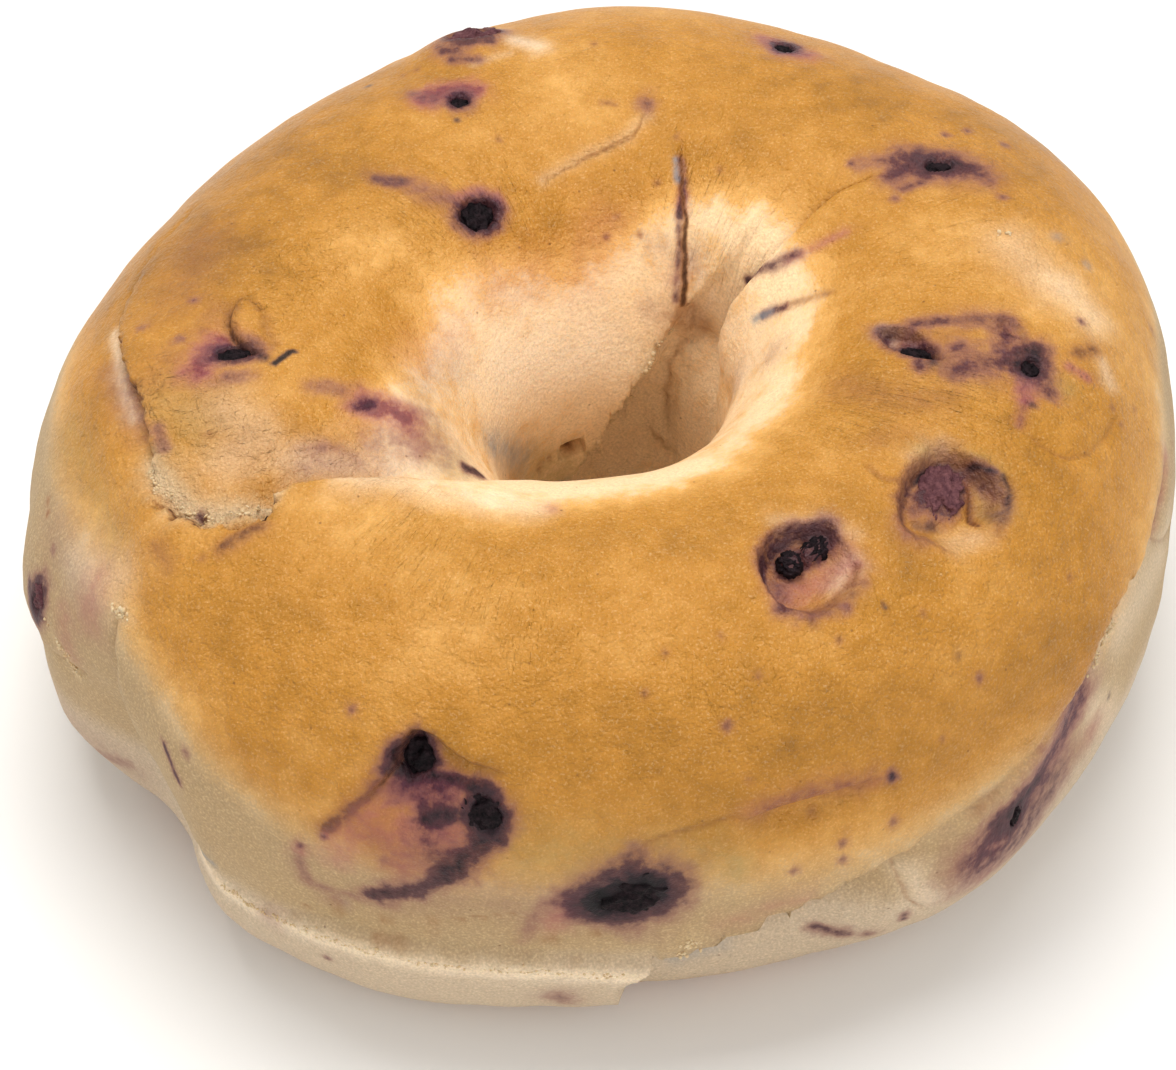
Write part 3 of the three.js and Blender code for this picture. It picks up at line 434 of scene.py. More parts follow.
# how far out and in the crust is browned, in degrees across the rope, every 30 degrees, and how softly
browning = {
    "outer": [30, 26, 18, 14, 14, 20, 34, 38, 18, 13, 9, 16],
    "inner": [120, 117, 113, 131, 130, 122, 124, 108, 102, 108, 112, 118],
    "outerFade": 13, "innerFade": 11, "crown": 0.62,
    "sole": (52, 14), "soleBake": 0.6,  # the underside browned where it lay on the tray
    # by how much it is darker, around, across, and how far in mm
    "darker": [(0.26, 165, 64, 11), (0.16, 140, 68, 12), (0.1, 228, 62, 9), (0.12, 286, 44, 14), (0.1, 262, 30, 12),
               (0.12, 46, 76, 9), (0.12, 336, 108, 7), (0.1, 70, 80, 8), (0.08, 318, 50, 12),
               (-0.26, 6, 56, 10), (-0.1, 18, 88, 10), (-0.1, 97, 84, 9), (-0.16, 158, 97, 9), (-0.1, 205, 84, 7),
               (-0.1, 256, 82, 12), (-0.06, 262, 48, 8), (-0.2, 227, 93, 6)],
}
narrow = 0.6  # strokes up to this half width need fine faces


# a crease's stations made finer and laid on the bare ring
def layLine(at, steps=6):
    at = np.array(at, float)
    last = len(at) - 1
    rows = []
    for k in range(last):
        a, b, c, d = (at[min(max(k + j, 0), last)] for j in (-1, 0, 1, 2))
        for t in np.arange(steps) / steps:
            row = curve(a, b, c, d, t)
            row[2:] = b[2:] + (c[2:] - b[2:]) * t
            rows.append(row)
    rows = np.array(rows + [at[last]])
    points, normals = bareSkin(rows[:, 0], rows[:, 1])
    return {"points": points, "normals": normals, "lifts": rows[:, 2:]}


# where points lie beside a line: distance, positive on the left, the way to the left, and the lifts there
def besideLine(points, line):
    count = len(points)
    nearest = np.full(count, 1e9)
    side = np.ones(count)
    leftward = np.zeros((count, 3))
    lifts = np.zeros((count, 2))
    along = np.zeros(count)
    places = line["points"]
    for k in range(len(places) - 1):
        step = places[k + 1] - places[k]
        t = np.clip((points - places[k]) @ step / (step @ step), 0, 1)
        away = points - places[k] - t[:, None] * step
        distance = np.linalg.norm(away, axis=1)
        hit = distance < nearest
        left = np.cross(line["normals"][k], step / np.linalg.norm(step))
        nearest[hit] = distance[hit]
        side[hit] = np.sign(away[hit] @ left)
        leftward[hit] = left
        lifts[hit] = line["lifts"][k] + (line["lifts"][k + 1] - line["lifts"][k]) * t[hit, None]
        along[hit] = k + t[hit]
    length = np.linalg.norm(np.diff(places, axis=0), axis=1).sum()
    share = along / (len(places) - 1)
    ends = np.minimum(share, 1 - share) * length
    return nearest * side, leftward, lifts, ends


# how far points are from a stroke through places on the ring
def strokeDistance(points, at):
    places = bareSkin(*np.array(at, float).T)[0]
    nearest = np.linalg.norm(points - places[0], axis=1)
    for start, end in zip(places, places[1:]):
        step = end - start
        t = np.clip((points - start) @ step / (step @ step), 0, 1)
        nearest = np.minimum(nearest, np.linalg.norm(points - start - t[:, None] * step, axis=1))
    return nearest


def paint(points, strokes, wander):
    field = np.zeros(len(points))
    for amount, width, at in strokes:
        places = bareSkin(*np.array(at, float).T)[0]
        far = 2.6 * width + 2
        near = ((points > places.min(0) - far) & (points < places.max(0) + far)).all(1)
        distance = strokeDistance(points[near], at) * (1 + 0.22 * wander[near])
        field[near] = np.hypot(field[near], amount * bell(distance / width))
    return field


stepWidth = 0.45  # the step at a crease is spread this far to each side of its line


def stepLift(distance, left, right):
    onLeft = smooth(distance / stepWidth / 2 + 0.5)
    return onLeft * left + (1 - onLeft) * right, onLeft


def footPlace(u, v):
    at = np.array(foot["at"], float)
    u = np.mod(u, 360)
    distance = (np.mod(v - np.interp(u, at[:, 0], at[:, 1]) + 180, 360) - 180) * foot["mmPerDegree"]
    rounded = u + foot["rounded"] * np.clip(-distance, 0, 4) ** 2
    above, below = (np.interp(rounded, at[:, 0], at[:, k]) for k in (2, 3))
    return distance, above, below


# x round the ring, y across it, z out of it, turned by an angle about z
def frameAt(u, v, turn=0):
    point, normal = bareSkin(np.array(float(u)), np.array(float(v)))
    x = Vector((-math.sin(math.radians(u)), math.cos(math.radians(u)), 0))
    z = Vector(normal)
    y = z.cross(x)
    turned = Matrix((x, y, z)).transposed() @ Matrix.Rotation(math.radians(turn), 3, "Z")
    return np.array(point), np.array(turned)


def inFrame(points, place):
    point, axes = frameAt(place[0], place[1], place[4])
    return (points - point) @ axes


# how browned the crust is, and how much it belongs to the dull side low on the outside, darker partly as painted shade,
# and to the band under it
def bakeOf(u, v, points):
    across = np.where(v > 270, v - 360, v)
    outer, inner = around(browning["outer"], u), around(browning["inner"], u)
    crown = smooth((across - outer) / browning["outerFade"] / 2 + 0.5)
    crown *= smooth((inner - across) / browning["innerFade"] / 2 + 0.5)
    bake = browning["crown"] * crown
    for amount, aroundAt, acrossAt, reach in browning["darker"]:
        bake += amount * crown * bell(strokeDistance(points, [(aroundAt, acrossAt)]) / reach)
    edge, fade = browning["sole"]
    sole = np.clip(smooth((-edge - across) / fade + 0.5) + smooth((across - 180 - edge) / fade + 0.5), 0, 1)
    # the skirt: the duller crust low on the outside, its colour darker partly as painted shade
    skirt = smooth((outer - across) / 16 + 0.4) * (1 - sole)
    band = smooth((-6 - across) / 10 + 0.5) * (1 - sole)
    return {"bake": np.maximum(bake, browning["soleBake"] * sole), "skirt": skirt, "band": band}


# the finished skin, with the marks that its finish needs
def shapeSkin(u, v, fine=True, pitted=True):
    points, normals = bareSkin(u, v)
    count = len(points)
    lift = np.zeros(count)
    slide = np.zeros((count, 3))
    marks = {"cleftShade": np.zeros(count)}
    wander = waves(points, 1.7) * 0.7 + waves(points, 0.7, 5) * 0.5 if fine else np.zeros(count)
    distance, above, below = footPlace(u, v)
    crossways = np.cross(normals, np.stack([-np.sin(np.radians(u)), np.cos(np.radians(u)), 0 * u], -1))
    grooved = smooth((u - foot["grooved"][0]) / 4) * smooth((foot["grooved"][1] - u) / 4)
    edge = distance + (waves(points, 1.7, 23) if fine else 0) * foot["ragged"] * grooved
    step, onTop = stepLift(edge, above * bell(edge / foot["fall"][0]), below * bell(edge / foot["fall"][1]))
    lift += step - grooved * foot["cut"] * bell(edge / foot["width"])
    if fine:
        # painted shade, in patches, along the foot's groove
        patchy = smooth(waves(points, 5, 19) * 1.6)
        marks["cleftShade"] = np.maximum(marks["cleftShade"], 0.25 * grooved * bell(edge / 0.35) * patchy)
    hang = np.clip(above - below, 0, 1.5) * onTop * bell(edge / 3)
    slide -= crossways * (hang * 0.7)[:, None]
    for crease in creases.values():
        line = layLine(crease["at"])
        far = 2.2 * max(crease["fall"] + (crease["width"],))
        near = ((points > line["points"].min(0) - far) & (points < line["points"].max(0) + far)).all(1)
        if not near.any():
            continue
        distance, leftward, lifts, ends = besideLine(points[near], line)
        edge = distance + wander[near] * crease["ragged"]
        fallLeft, fallRight = crease["fall"]
        step, onLeft = stepLift(edge, lifts[:, 0] * bell(edge / fallLeft), lifts[:, 1] * bell(edge / fallRight))
        fade = smooth(ends / (3 * crease["width"]))
        lift[near] += step - fade * crease["cut"] * bell(edge / crease["width"])
        proud = onLeft if crease["lap"] > 0 else 1 - onLeft
        hang = fade * crease["lap"] * proud * bell(edge / 2.5)
        slide[near] -= leftward * hang[:, None]
        # painted shade along the crease's line, deeper where its step is taller
        if crease["dark"] > 0:
            deep = fade * np.clip(np.abs(lifts[:, 0] - lifts[:, 1]) / 1.5, 0.25, 1)
            marks["cleftShade"][near] = np.maximum(marks["cleftShade"][near], deep * bell(edge / crease["dark"] / 1.5))
    for place in hollows.values():
        local = inFrame(points, place)
        q = (local[:, 0] / place[2]) ** 2 + (local[:, 1] / place[3]) ** 2
        lift -= np.where(local[:, 2] > -ropeDepth, place[5] * np.clip(1 - q, 0, 1) ** 2, 0)
    if fine:
        lift += 0.22 * waves(points, 11, 3) + 0.09 * waves(points, 4, 7)
        for kind, strokes in stains.items():
            marks[kind] = paint(points, strokes, wander)
        lift += marks["torn"] * (0.3 * waves(points, 0.9, 11) + 0.15 * waves(points, 0.45, 13) - 0.15)
    if pitted:
        pressPits(points, lift, wander, marks)
    points = points + normals * lift[:, None] + slide
    points[:, 2] = np.maximum(0, points[:, 2] - ring["flat"])
    points[:, :2] -= ring["centre"]
    return points, marks


# distance from the middle of a rounded place, 1 at its edge, and which points belong to this side of the rope
def spread(points, place, square, wander, ragged):
    local = inFrame(points, place)
    across, along = np.abs(local[:, 0] / place[2]), np.abs(local[:, 1] / place[3])
    q = (across ** square + along ** square) ** (1 / square) + wander * ragged
    return q, local, local[:, 2] > -ropeDepth


def pressPits(points, lift, wander, marks):
    for place in pits.values():
        depth, square, gentle, juice = place[5:]
        q, local, near = spread(points, place, square, wander, 0.045)
        facing = np.arctan2(local[:, 1] / place[3], local[:, 0] / place[2])
        ease = np.zeros(len(q)) if gentle is None else (0.5 + 0.5 * np.cos(facing - math.radians(gentle - place[4]))) ** 2
        wall = pitWall["steep"] + pitWall["gentle"] * ease
        uneven = 1 + 0.12 * waves(points, 2.2, 17)
        lift -= np.where(near, depth * uneven * smooth((1.04 - q) / wall), 0)
        lift += np.where(near, pitWall["rim"] * (1 - ease) * bell((q - 1.1) / 0.1), 0)
        inside = (q - 0.92) * min(place[2:4])
        # the rim is darkened on its steep wall alone: partly juice, partly painted shade where that wall overhangs
        for kind, share, width in (("ink", 0.6, 0.3), ("purple", 1, 0.7)):
            if kind in marks:
                rim = np.where(near, share * juice * (1 - ease) * bell(inside / width), 0)
                marks[kind] = np.maximum(marks[kind], rim)
    for name, place in openings.items():
        square, depth, juice, reach = place[5:]
        q, local, near = spread(points, place, square, wander, 0.15)
        if name in bedded:
            bed = np.where(near, smooth((1.7 - q) / 0.7), 0)
            lift += bed * (-depth - lift)
        else:
            lift -= np.where(near, depth * smooth((1.03 - q) / 0.35), 0)
        if "ink" in marks:
            outside = np.maximum(q - 1, 0) * min(place[2:4])
            marks["ink"] = np.maximum(marks["ink"], np.where(near, 0.6 * juice * bell(outside / 0.2), 0))
            marks["purple"] = np.hypot(marks["purple"], np.where(near, juice * bell(outside / reach), 0))


# ---- the dough's mesh ----
grid = {"around": 300, "across": 108, "reaches": (1.7, 0.65)}  # faces this near to a detail are split, and again


def anglesOf(points):
    u = np.degrees(np.arctan2(points[:, 1], points[:, 0]))
    v = np.degrees(np.arctan2(points[:, 2], np.hypot(points[:, 0], points[:, 1]) - 2))
    return np.mod(np.round(u, 4), 360), np.mod(np.round(v, 4), 360)


# where fine faces are needed: points on the bare ring, with how far each detail reaches past them
def detailPlaces():
    places, reaches = [], []
    for crease in creases.values():
        points = layLine(crease["at"], 4)["points"]
        places.append(points)
        reaches.append(np.zeros(len(points)))
    grooved = np.arange(foot["grooved"][0], foot["grooved"][1], 1)
    at = np.array(foot["at"], float)
    places.append(bareSkin(grooved, np.interp(grooved, at[:, 0], at[:, 1]))[0])
    reaches.append(np.zeros(len(grooved)))
    for place in list(pits.values()) + list(openings.values()):
        places.append(frameAt(place[0], place[1])[0][None])
        reaches.append(np.array([1.1 * max(place[2:4])]))
    for strokes in stains.values():
        for _, width, at in strokes:
            if width > 2 * narrow:
                continue
            points = layLine([(u, v, 0, 0) for u, v in at], 3)["points"]
            places.append(points)
            reaches.append(np.full(len(points), -0.2 if width <= narrow else -0.5))
    return np.concatenate(places), np.concatenate(reaches)


def buildDoughGrid():
    bm = bmesh.new()
    bmesh.ops.create_circle(bm, segments=grid["across"], radius=1)
    bmesh.ops.rotate(bm, verts=bm.verts, matrix=Matrix.Rotation(math.radians(90), 3, "X"))
    bmesh.ops.translate(bm, verts=bm.verts, vec=(2, 0, 0))
    bmesh.ops.spin(bm, geom=bm.edges[:], angle=2 * math.pi, steps=grid["around"], axis=(0, 0, 1), use_merge=True)
    places, extras = detailPlaces()
    for reach in grid["reaches"]:
        faces = bm.faces[:]
        centres = np.array([face.calc_center_median() for face in faces])
        skin, _ = bareSkin(*anglesOf(centres))
        near = np.zeros(len(faces), bool)
        for place, extra in zip(places, extras):
            near |= ((skin - place) ** 2).sum(1) < (reach + extra) ** 2
        edges = {edge for face, wanted in zip(faces, near) if wanted for edge in face.edges}
        bmesh.ops.subdivide_edges(bm, edges=list(edges), cuts=1, use_grid_fill=True)
    bmesh.ops.recalc_face_normals(bm, faces=bm.faces)
    return bm


def addFloats(mesh, name, values):
    attribute = mesh.attributes.new(name, "FLOAT", "POINT")
    attribute.data.foreach_set("value", values.astype(np.float32))


def newPiece(bm, name, material):
    mesh = bpy.data.meshes.new(name)
    bm.to_mesh(mesh)
    bm.free()
    mesh.shade_smooth()
    piece = bpy.data.objects.new(name, mesh)
    bpy.context.collection.objects.link(piece)
    mesh.materials.append(material)
    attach(piece, "root")
    return piece


flowing = {"radius": 36, "length": 6, "spacing": 0.8}  # wrinkles run across the rope, this long and this far apart


def buildDough(material):
    bm = buildDoughGrid()
    bm.verts.ensure_lookup_table()
    u, v = anglesOf(np.array([vert.co for vert in bm.verts]))
    points, marks = shapeSkin(u, v)
    marks.update(bakeOf(u, v, bareSkin(u, v)[0]))
    for vert, point in zip(bm.verts, points * mm):
        vert.co = point
    bmesh.ops.recalc_face_normals(bm, faces=bm.faces)
    piece = newPiece(bm, "bagelDough", material)
    for name, values in marks.items():
        addFloats(piece.data, name, values)
    across = np.where(v > 270, v - 360, v) * foot["mmPerDegree"] / flowing["length"]
    turn = np.radians(u)
    size = flowing["radius"] / flowing["spacing"]
    flow = np.stack([size * np.cos(turn), size * np.sin(turn), across], -1)
    attribute = piece.data.attributes.new("flow", "FLOAT_VECTOR", "POINT")
    attribute.data.foreach_set("vector", flow.astype(np.float32).ravel())
    addFloats(piece.data, "aroundRing", u)
    addFloats(piece.data, "acrossRope", v)
    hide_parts("dough")
    return piece


# ---- berries, each wrinkled and porous like a raisin ----
berryShape = {"subdivisions": 5, "wrinkle": 0.17, "pores": 0.1, "spread": 0.15, "flatter": 2.4}


def buildBerry(name, material):
    u, v, halfLength, halfWidth, turn, halfThickness, top = berries[name]
    bm = bmesh.new()
    bmesh.ops.create_icosphere(bm, subdivisions=berryShape["subdivisions"], radius=1)
    unit = np.array([vert.co for vert in bm.verts])
    ridges = 1 - np.abs(waves(unit, 0.55, u)) * 2
    pores = waves(unit, 0.16, v)
    swell = 1 + berryShape["wrinkle"] * ridges + berryShape["pores"] * pores
    sizes = np.array([halfLength, halfWidth, halfThickness]) + berryShape["spread"]
    q = np.minimum(np.hypot(unit[:, 0], unit[:, 1]), 1)
    power = berryShape["flatter"]
    unit[:, 2] = np.sign(unit[:, 2]) * (1 - q ** power) ** (1 / power)
    local = unit * (swell * 0.97)[:, None] * sizes
    local[:, 2] -= top + halfThickness + 0.1
    middle = shapeSkin(np.array([float(u)]), np.array([float(v)]), fine=False, pitted=False)[0][0]
    axes = frameAt(u, v, turn)[1]
    for vert, place in zip(bm.verts, (local @ axes.T + middle) * mm):
        vert.co = place
    piece = newPiece(bm, "baked_" + name, material)
    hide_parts(name)
    return piece


# ---- crumbs: (how many, size, how far they stray, places along the line) ----
crumbs = {
    "tornSeam": (80, 0.22, 0.5, [(201, 62.5), (205, 63.3), (209, 64.5), (212, 69), (214, 75), (216.5, 81)]),
    "footLip": (200, 0.16, 0.35, [(230, -10), (236, -8.6), (243.3, -5.6), (252, -5.9), (262, -6.6), (272, -10.5)]),
    "rightStrip": (40, 0.22, 0.4, [(333.4, 16.5), (330.9, 14.7), (328.6, 11)]),
    "sidePatch": (26, 0.26, 0.5, [(212, 35.6), (214, 38)]),
    "lobeCrack": (30, 0.22, 0.4, [(202.4, 11.9), (205.2, 8.8), (205.7, 1.8)]),
    "holeEdge": (60, 0.3, 0.6, [(66, 159.3), (68.5, 160), (72, 165.5), (78.8, 178), (87.5, 182)]),
    "yellowCrumbs": (5, 0.35, 0.9, [(17, 80.7), (15.9, 77.4)]),
    "flapCorner": (22, 0.25, 0.5, [(277, -5), (278.8, -1.1)]),
}


def buildCrumbs(material):
    rng = random.Random(7)
    bm = bmesh.new()
    angles, sizes = [], []
    for count, size, stray, at in crumbs.values():
        at = np.array(at, float)
        for _ in range(count):
            place = rng.uniform(0, len(at) - 1)
            k = min(int(place), len(at) - 2)
            u, v = at[k] + (at[k + 1] - at[k]) * (place - k)
            angles.append((u + rng.gauss(0, stray), v + rng.gauss(0, stray / foot["mmPerDegree"] / 2)))
            sizes.append(size * rng.uniform(0.5, 1.3))
    u, v = np.array(angles).T
    points, _ = shapeSkin(np.mod(u, 360), np.mod(v, 360))
    for point, size in zip(points, sizes):
        turn = Euler([rng.uniform(0, 2 * math.pi) for _ in range(3)]).to_matrix().to_4x4()
        squash = Matrix.Diagonal((rng.uniform(0.8, 1.4), rng.uniform(0.6, 1.1), rng.uniform(0.4, 0.8), 1))
        place = Matrix.Translation(Vector(point) * mm) @ turn @ squash
        made = bmesh.ops.create_icosphere(bm, subdivisions=1, radius=size * mm, matrix=place)["verts"]
        for vert in made:
            vert.co += Vector([rng.uniform(-0.16, 0.16) * size * mm for _ in range(3)])
    return newPiece(bm, "looseCrumbs", material)


# ---- materials ----
def colour(hexValue):
    parts = [int(hexValue[k:k + 2], 16) / 255 for k in (1, 3, 5)]
    return [p / 12.92 if p <= 0.04045 else ((p + 0.055) / 1.055) ** 2.4 for p in parts] + [1]


# adds a node, with its properties, and a value or a link for each socket
def put(tree, kind, sockets=None, **settings):
    made = tree.nodes.new("ShaderNode" + kind)
    for name, value in settings.items():
        setattr(made, name, value)
    for key, value in (sockets or {}).items():
        if isinstance(value, bpy.types.NodeSocket):
            tree.links.new(value, made.inputs[key])
        else:
            made.inputs[key].default_value = value
    return made


# a colour ramp on a value, from places and linear colours with their cover
def putRamp(tree, value, stops):
    ramp = put(tree, "ValToRGB", {"Fac": value})
    marks = ramp.color_ramp.elements
    while len(marks) < len(stops):
        marks.new(0.5)
    for mark, (position, rgba) in zip(marks, stops):
        mark.position, mark.color = position, rgba
    return ramp


def newMaterial(name):
    material = bpy.data.materials.new(name)
    material.use_nodes = True
    material.node_tree.nodes.clear()
    return material, material.node_tree


# yeast dough baked golden: a satin skin, browned on the crown, pale at the sides, tinted by berry juice, with painted
# shade in its creases and low on its outer side
crust = {
    "bake": [(0, "#f2d0a2"), (0.25, "#dea659"), (0.45, "#c98f40"), (0.62, "#bd812c"), (0.8, "#ac7422"), (1, "#8f5f1f")],
    # the skirt's colour is darker partly as painted shade; the band is the pale foot
    "skirt": "#b0936a", "band": "#c4ae92",
    # sizes in mm
    "grain": 0.26, "mottle": 2.6, "drift": 12, "pinhole": 3.1, "pebble": 0.45, "crumb": 0.9, "pucker": 2.4, "blot": 1.2,
    "satin": 0.36, "dull": 0.62,
    # juice and scorch, with painted shade in the clefts and partly in the olive, from a faint mark through a strong one
    # to the strongest
    "marks": {"olive": ("#a3905a", "#857646", "#6b5f38"), "brown": ("#9c6638", "#6b3f26", "#361e15"),
              "rose": ("#a8625c", "#813843", "#4a1f2c"), "purple": ("#885650", "#4e2432", "#190b11"),
              "blue": ("#7c8790", "#44546c", "#232c40"), "cleftShade": ("#8d5a30", "#5c361d", "#2b1810"),
              "ink": ("#4a2e33", "#1e1218", "#0a0709")},
    "cover": (0, 0.6, 0.9, 1),  # how much of the crust they hide at none, a quarter, half and all of the ramp
}


def makeCrust():
    material, tree = newMaterial("bakedCrust")
    place = put(tree, "TexCoord").outputs["Object"]
    drift = put(tree, "TexNoise", {"Vector": place, "Scale": 1000 / crust["drift"], "Detail": 2})
    mottle = put(tree, "TexNoise", {"Vector": place, "Scale": 1000 / crust["mottle"], "Detail": 5, "Roughness": 0.62})
    grain = put(tree, "TexNoise", {"Vector": place, "Scale": 1000 / crust["grain"], "Detail": 2})
    bake = put(tree, "Attribute", attribute_name="bake").outputs["Fac"]
    for wave, amount in ((drift, 0.28), (mottle, 0.25), (grain, 0.16)):
        shift = put(tree, "MapRange", {0: wave.outputs[0], 1: 0.3, 2: 0.7, 3: -amount / 2, 4: amount / 2})
        bake = put(tree, "Math", {0: bake, 1: shift.outputs[0]}, operation="ADD").outputs[0]
    skin = putRamp(tree, bake, [(position, colour(hexValue)) for position, hexValue in crust["bake"]]).outputs[0]
    # veils over the baked colour: the skirt's is partly painted shade, the pale's partly painted highlights and light
    for name, hexValue, most in (("skirt", crust["skirt"], 1), ("band", crust["band"], 1), ("pale", "#f4dfc2", 0.85),
                                 ("torn", "#e2c69e", 0.8)):
        field = put(tree, "Attribute", attribute_name=name).outputs["Fac"]
        amount = put(tree, "MapRange", {0: field, 1: 0, 2: 1, 3: 0, 4: most}).outputs[0]
        skin = put(tree, "Mix", {0: amount, 6: skin, 7: colour(hexValue)}, data_type="RGBA").outputs[2]
    grainy = put(tree, "MapRange", {0: grain.outputs[0], 1: 0.25, 2: 0.75, 3: 0.82, 4: 1.18}).outputs[0]
    skin = put(tree, "HueSaturation", {"Value": grainy, "Color": skin}).outputs[0]
    glint = put(tree, "MapRange", {0: grain.outputs[0], 1: 0.55, 2: 0.8, 3: 0, 4: 0.22}).outputs[0]
    skin = put(tree, "Mix", {0: glint, 6: skin, 7: colour("#f6dfb4")}, data_type="RGBA").outputs[2]
    # juice soaks in unevenly, in cloudy blots with a fine grain, and the painted shade is laid on in the same blots
    blot = put(tree, "TexNoise", {"Vector": place, "Scale": 1000 / crust["blot"], "Detail": 5, "Roughness": 0.62})
    blotchy = put(tree, "MapRange", {0: blot.outputs[0], 1: 0.33, 2: 0.67, 3: 0.5, 4: 1}).outputs[0]
    for name, (faint, strong, strongest) in crust["marks"].items():
        field = put(tree, "Attribute", attribute_name=name).outputs["Fac"]
        soaked = put(tree, "Math", {0: field, 1: blotchy}, operation="MULTIPLY").outputs[0]
        tints = [colour(hexValue)[:3] + [cover] for hexValue, cover in
                 zip((faint, faint, strong, strongest), crust["cover"])]
        tint = putRamp(tree, soaked, list(zip((0, 0.25, 0.5, 1), tints)))
        skin = put(tree, "Mix", {0: tint.outputs["Alpha"], 6: skin, 7: tint.outputs[0]}, data_type="RGBA").outputs[2]
    # pinholes, dark brown
    holes = put(tree, "TexVoronoi", {"Vector": place, "Scale": 1000 / crust["pinhole"]})
    hole = put(tree, "MapRange", {0: holes.outputs["Distance"], 1: 0.02, 2: 0.06, 3: 0.55, 4: 0}).outputs[0]
    skin = put(tree, "Mix", {0: hole, 6: skin, 7: colour("#5a3018")}, data_type="RGBA").outputs[2]
    # relief: pebbled skin, wrinkles across the rope, puckers, torn crumb
    pebbles = put(tree, "TexNoise", {"Vector": place, "Scale": 1000 / crust["pebble"], "Detail": 3, "Roughness": 0.6})
    firm = put(tree, "MapRange", {0: bake, 1: 0, 2: 0.5, 3: 0.4, 4: 1}).outputs[0]
    bump = put(tree, "Bump", {"Height": pebbles.outputs[0], "Distance": 0.00028, "Strength": firm})
    bump = put(tree, "Bump", {"Height": mottle.outputs[0], "Distance": 0.0006, "Strength": firm,
                              "Normal": bump.outputs[0]})
    flow = put(tree, "Attribute", attribute_name="flow").outputs["Vector"]
    folds = put(tree, "TexNoise", {"Vector": flow, "Scale": 1, "Detail": 3, "Distortion": 0.5})
    creased = put(tree, "TexNoise", {"Vector": place, "Scale": 1000 / crust["pucker"], "Detail": 4, "Distortion": 1.6})
    airy = put(tree, "TexNoise", {"Vector": place, "Scale": 1000 / crust["crumb"], "Detail": 6, "Roughness": 0.75})
    torn = put(tree, "Attribute", attribute_name="torn").outputs["Fac"]
    for wave, name, depth in ((folds, "wrinkled", 0.0009), (creased, "puckered", 0.001), (airy, "torn", 0.0003)):
        field = put(tree, "Attribute", attribute_name=name).outputs["Fac"]
        height = put(tree, "Math", {0: wave.outputs[0], 1: field}, operation="MULTIPLY").outputs[0]
        bump = put(tree, "Bump", {"Height": height, "Distance": depth, "Strength": 0.9, "Normal": bump.outputs[0]})
    satin = put(tree, "MapRange", {0: bake, 1: 0.1, 2: 0.7, 3: crust["dull"], 4: crust["satin"]}).outputs[0]
    rough = put(tree, "Math", {0: torn, 1: 0.35, 2: satin}, operation="MULTIPLY_ADD", use_clamp=True).outputs[0]
    shader = put(tree, "BsdfPrincipled", {
        "Base Color": skin, "Roughness": rough, "IOR": 1.32, "Normal": bump.outputs[0],
        "Subsurface Weight": 0.1, "Subsurface Radius": (1, 0.5, 0.25), "Subsurface Scale": 0.0012})
    put(tree, "OutputMaterial", {"Surface": shader.outputs[0]})
    return material


# skin of a baked berry: nearly black, porous, with a dull bloom
def makeBerrySkin(name, dark, light, roughness):
    material, tree = newMaterial(name)
    place = put(tree, "TexCoord").outputs["Object"]
    mottle = put(tree, "TexNoise", {"Vector": place, "Scale": 1000 / 0.8, "Detail": 6, "Roughness": 0.7})
    spread = put(tree, "MapRange", {0: mottle.outputs[0], 1: 0.42, 2: 0.68, 3: 0, 4: 1}).outputs[0]
    skin = put(tree, "Mix", {0: spread, 6: colour(dark), 7: colour(light)}, data_type="RGBA").outputs[2]
    pores = put(tree, "TexNoise", {"Vector": place, "Scale": 1000 / 0.3, "Detail": 4})
    bump = put(tree, "Bump", {"Height": pores.outputs[0], "Distance": 0.0004, "Strength": 0.9})
    shader = put(tree, "BsdfPrincipled", {"Base Color": skin, "Roughness": roughness, "IOR": 1.22,
                                          "Normal": bump.outputs[0]})
    put(tree, "OutputMaterial", {"Surface": shader.outputs[0]})
    return material


# torn crumb of white dough: dull, pale yellow, slightly translucent
def makeCrumb():
    material, tree = newMaterial("tornCrumb")
    place = put(tree, "TexCoord").outputs["Object"]
    mottle = put(tree, "TexNoise", {"Vector": place, "Scale": 1000 / 0.7, "Detail": 3})
    skin = put(tree, "Mix", {0: mottle.outputs[0], 6: colour("#bd9a68"), 7: colour("#e8d2ac")}, data_type="RGBA")
    shader = put(tree, "BsdfPrincipled", {"Base Color": skin.outputs[2], "Roughness": 0.85, "Subsurface Weight": 0.15,
                                          "Subsurface Radius": (1, 0.6, 0.3), "Subsurface Scale": 0.0006})
    put(tree, "OutputMaterial", {"Surface": shader.outputs[0]})
    return material


# ---- the pieces ----
dough = buildDough(makeCrust())
dough.data.calc_loop_triangles()
print("dough made:", len(dough.data.loop_triangles), "triangles")
blackSkin = makeBerrySkin("bakedBerrySkin", "#0e080b", "#2c1e22", 0.6)
mauveSkin = makeBerrySkin("collapsedBerrySkin", "#563338", "#7d5152", 0.6)
collapsed = ("berry_crater_right", "berry_back_edge", "berry_left_edge")
for name in berries:
    buildBerry(name, mauveSkin if name in collapsed else blackSkin)
print("berries made:", len(berries))
buildCrumbs(makeCrumb())
print("crumbs made")

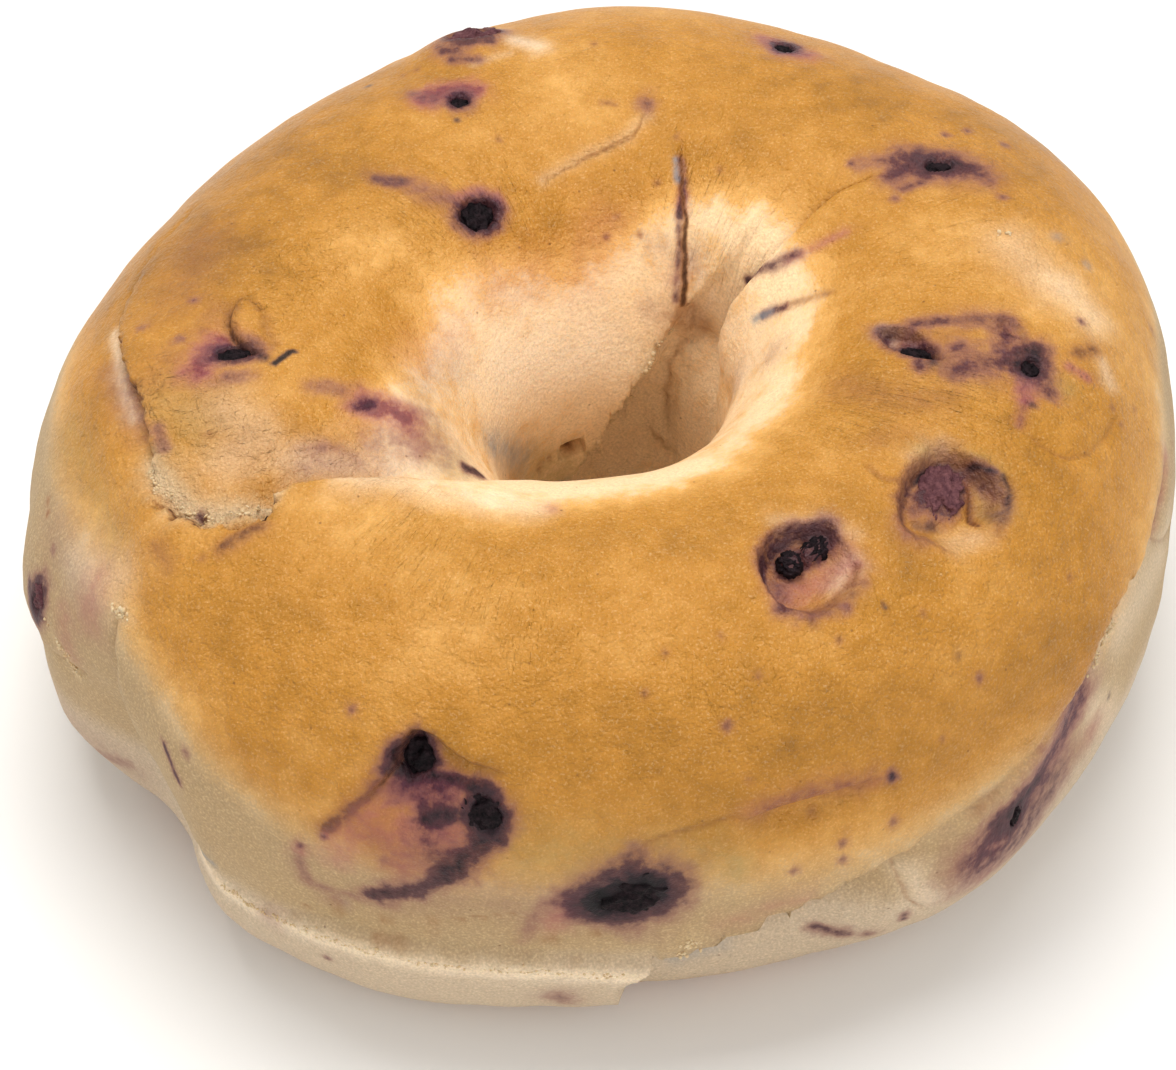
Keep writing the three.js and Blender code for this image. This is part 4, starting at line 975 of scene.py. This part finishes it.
# ---- floor, light and camera ----
studio = {"floor": 2.4, "floorColour": "#efede9", "world": 0.55}
bm = bmesh.new()
bmesh.ops.create_grid(bm, x_segments=1, y_segments=1, size=studio["floor"] / 2)
floorMesh = bpy.data.meshes.new("paleFloor")
bm.to_mesh(floorMesh)
bm.free()
floor = bpy.data.objects.new("paleFloor", floorMesh)
bpy.context.collection.objects.link(floor)
floorPaint, floorTree = newMaterial("paleFloorPaint")
floorShader = put(floorTree, "BsdfPrincipled", {"Base Color": colour(studio["floorColour"]), "Roughness": 0.9})
put(floorTree, "OutputMaterial", {"Surface": floorShader.outputs[0]})
floorMesh.materials.append(floorPaint)

lights = {
    # place, side of the square, watts
    "overhead": ((-0.05, 0.2, 0.75), 0.5, 5),
    "left": ((-0.7, 0, 0.35), 0.4, 0.5),
    "front": ((0.1, -0.75, 0.5), 0.5, 1.4),
    "frontRight": ((0.55, -0.5, 0.5), 0.5, 1.2),
}
for name, (place, side, watts) in lights.items():
    data = bpy.data.lights.new(name, "AREA")
    data.shape, data.size, data.energy = "SQUARE", side, watts
    light = bpy.data.objects.new(name, data)
    light.location = place
    light.rotation_euler = (Vector((0, 0, 0.02)) - Vector(place)).to_track_quat("-Z", "Y").to_euler()
    bpy.context.collection.objects.link(light)

world = bpy.data.worlds.new("studio")
world.use_nodes = True
world.node_tree.nodes["Background"].inputs["Color"].default_value = (1, 1, 1, 1)
world.node_tree.nodes["Background"].inputs["Strength"].default_value = studio["world"]
bpy.context.scene.world = world
bpy.context.scene.view_settings.view_transform = "Standard"

lens = {"aim": (-1.98, -9.22, 23.1), "distance": 420, "elevation": 50, "length": 128.57}
tilt = math.radians(lens["elevation"])
back = Vector((0, -math.cos(tilt), math.sin(tilt)))
cameraData = bpy.data.cameras.new("camera")
cameraData.lens, cameraData.sensor_width = lens["length"], 36
camera = bpy.data.objects.new("camera", cameraData)
camera.location = (Vector(lens["aim"]) + back * lens["distance"]) * mm
camera.rotation_euler = (math.pi / 2 - tilt, 0, 0)
bpy.context.collection.objects.link(camera)
bpy.context.scene.camera = camera
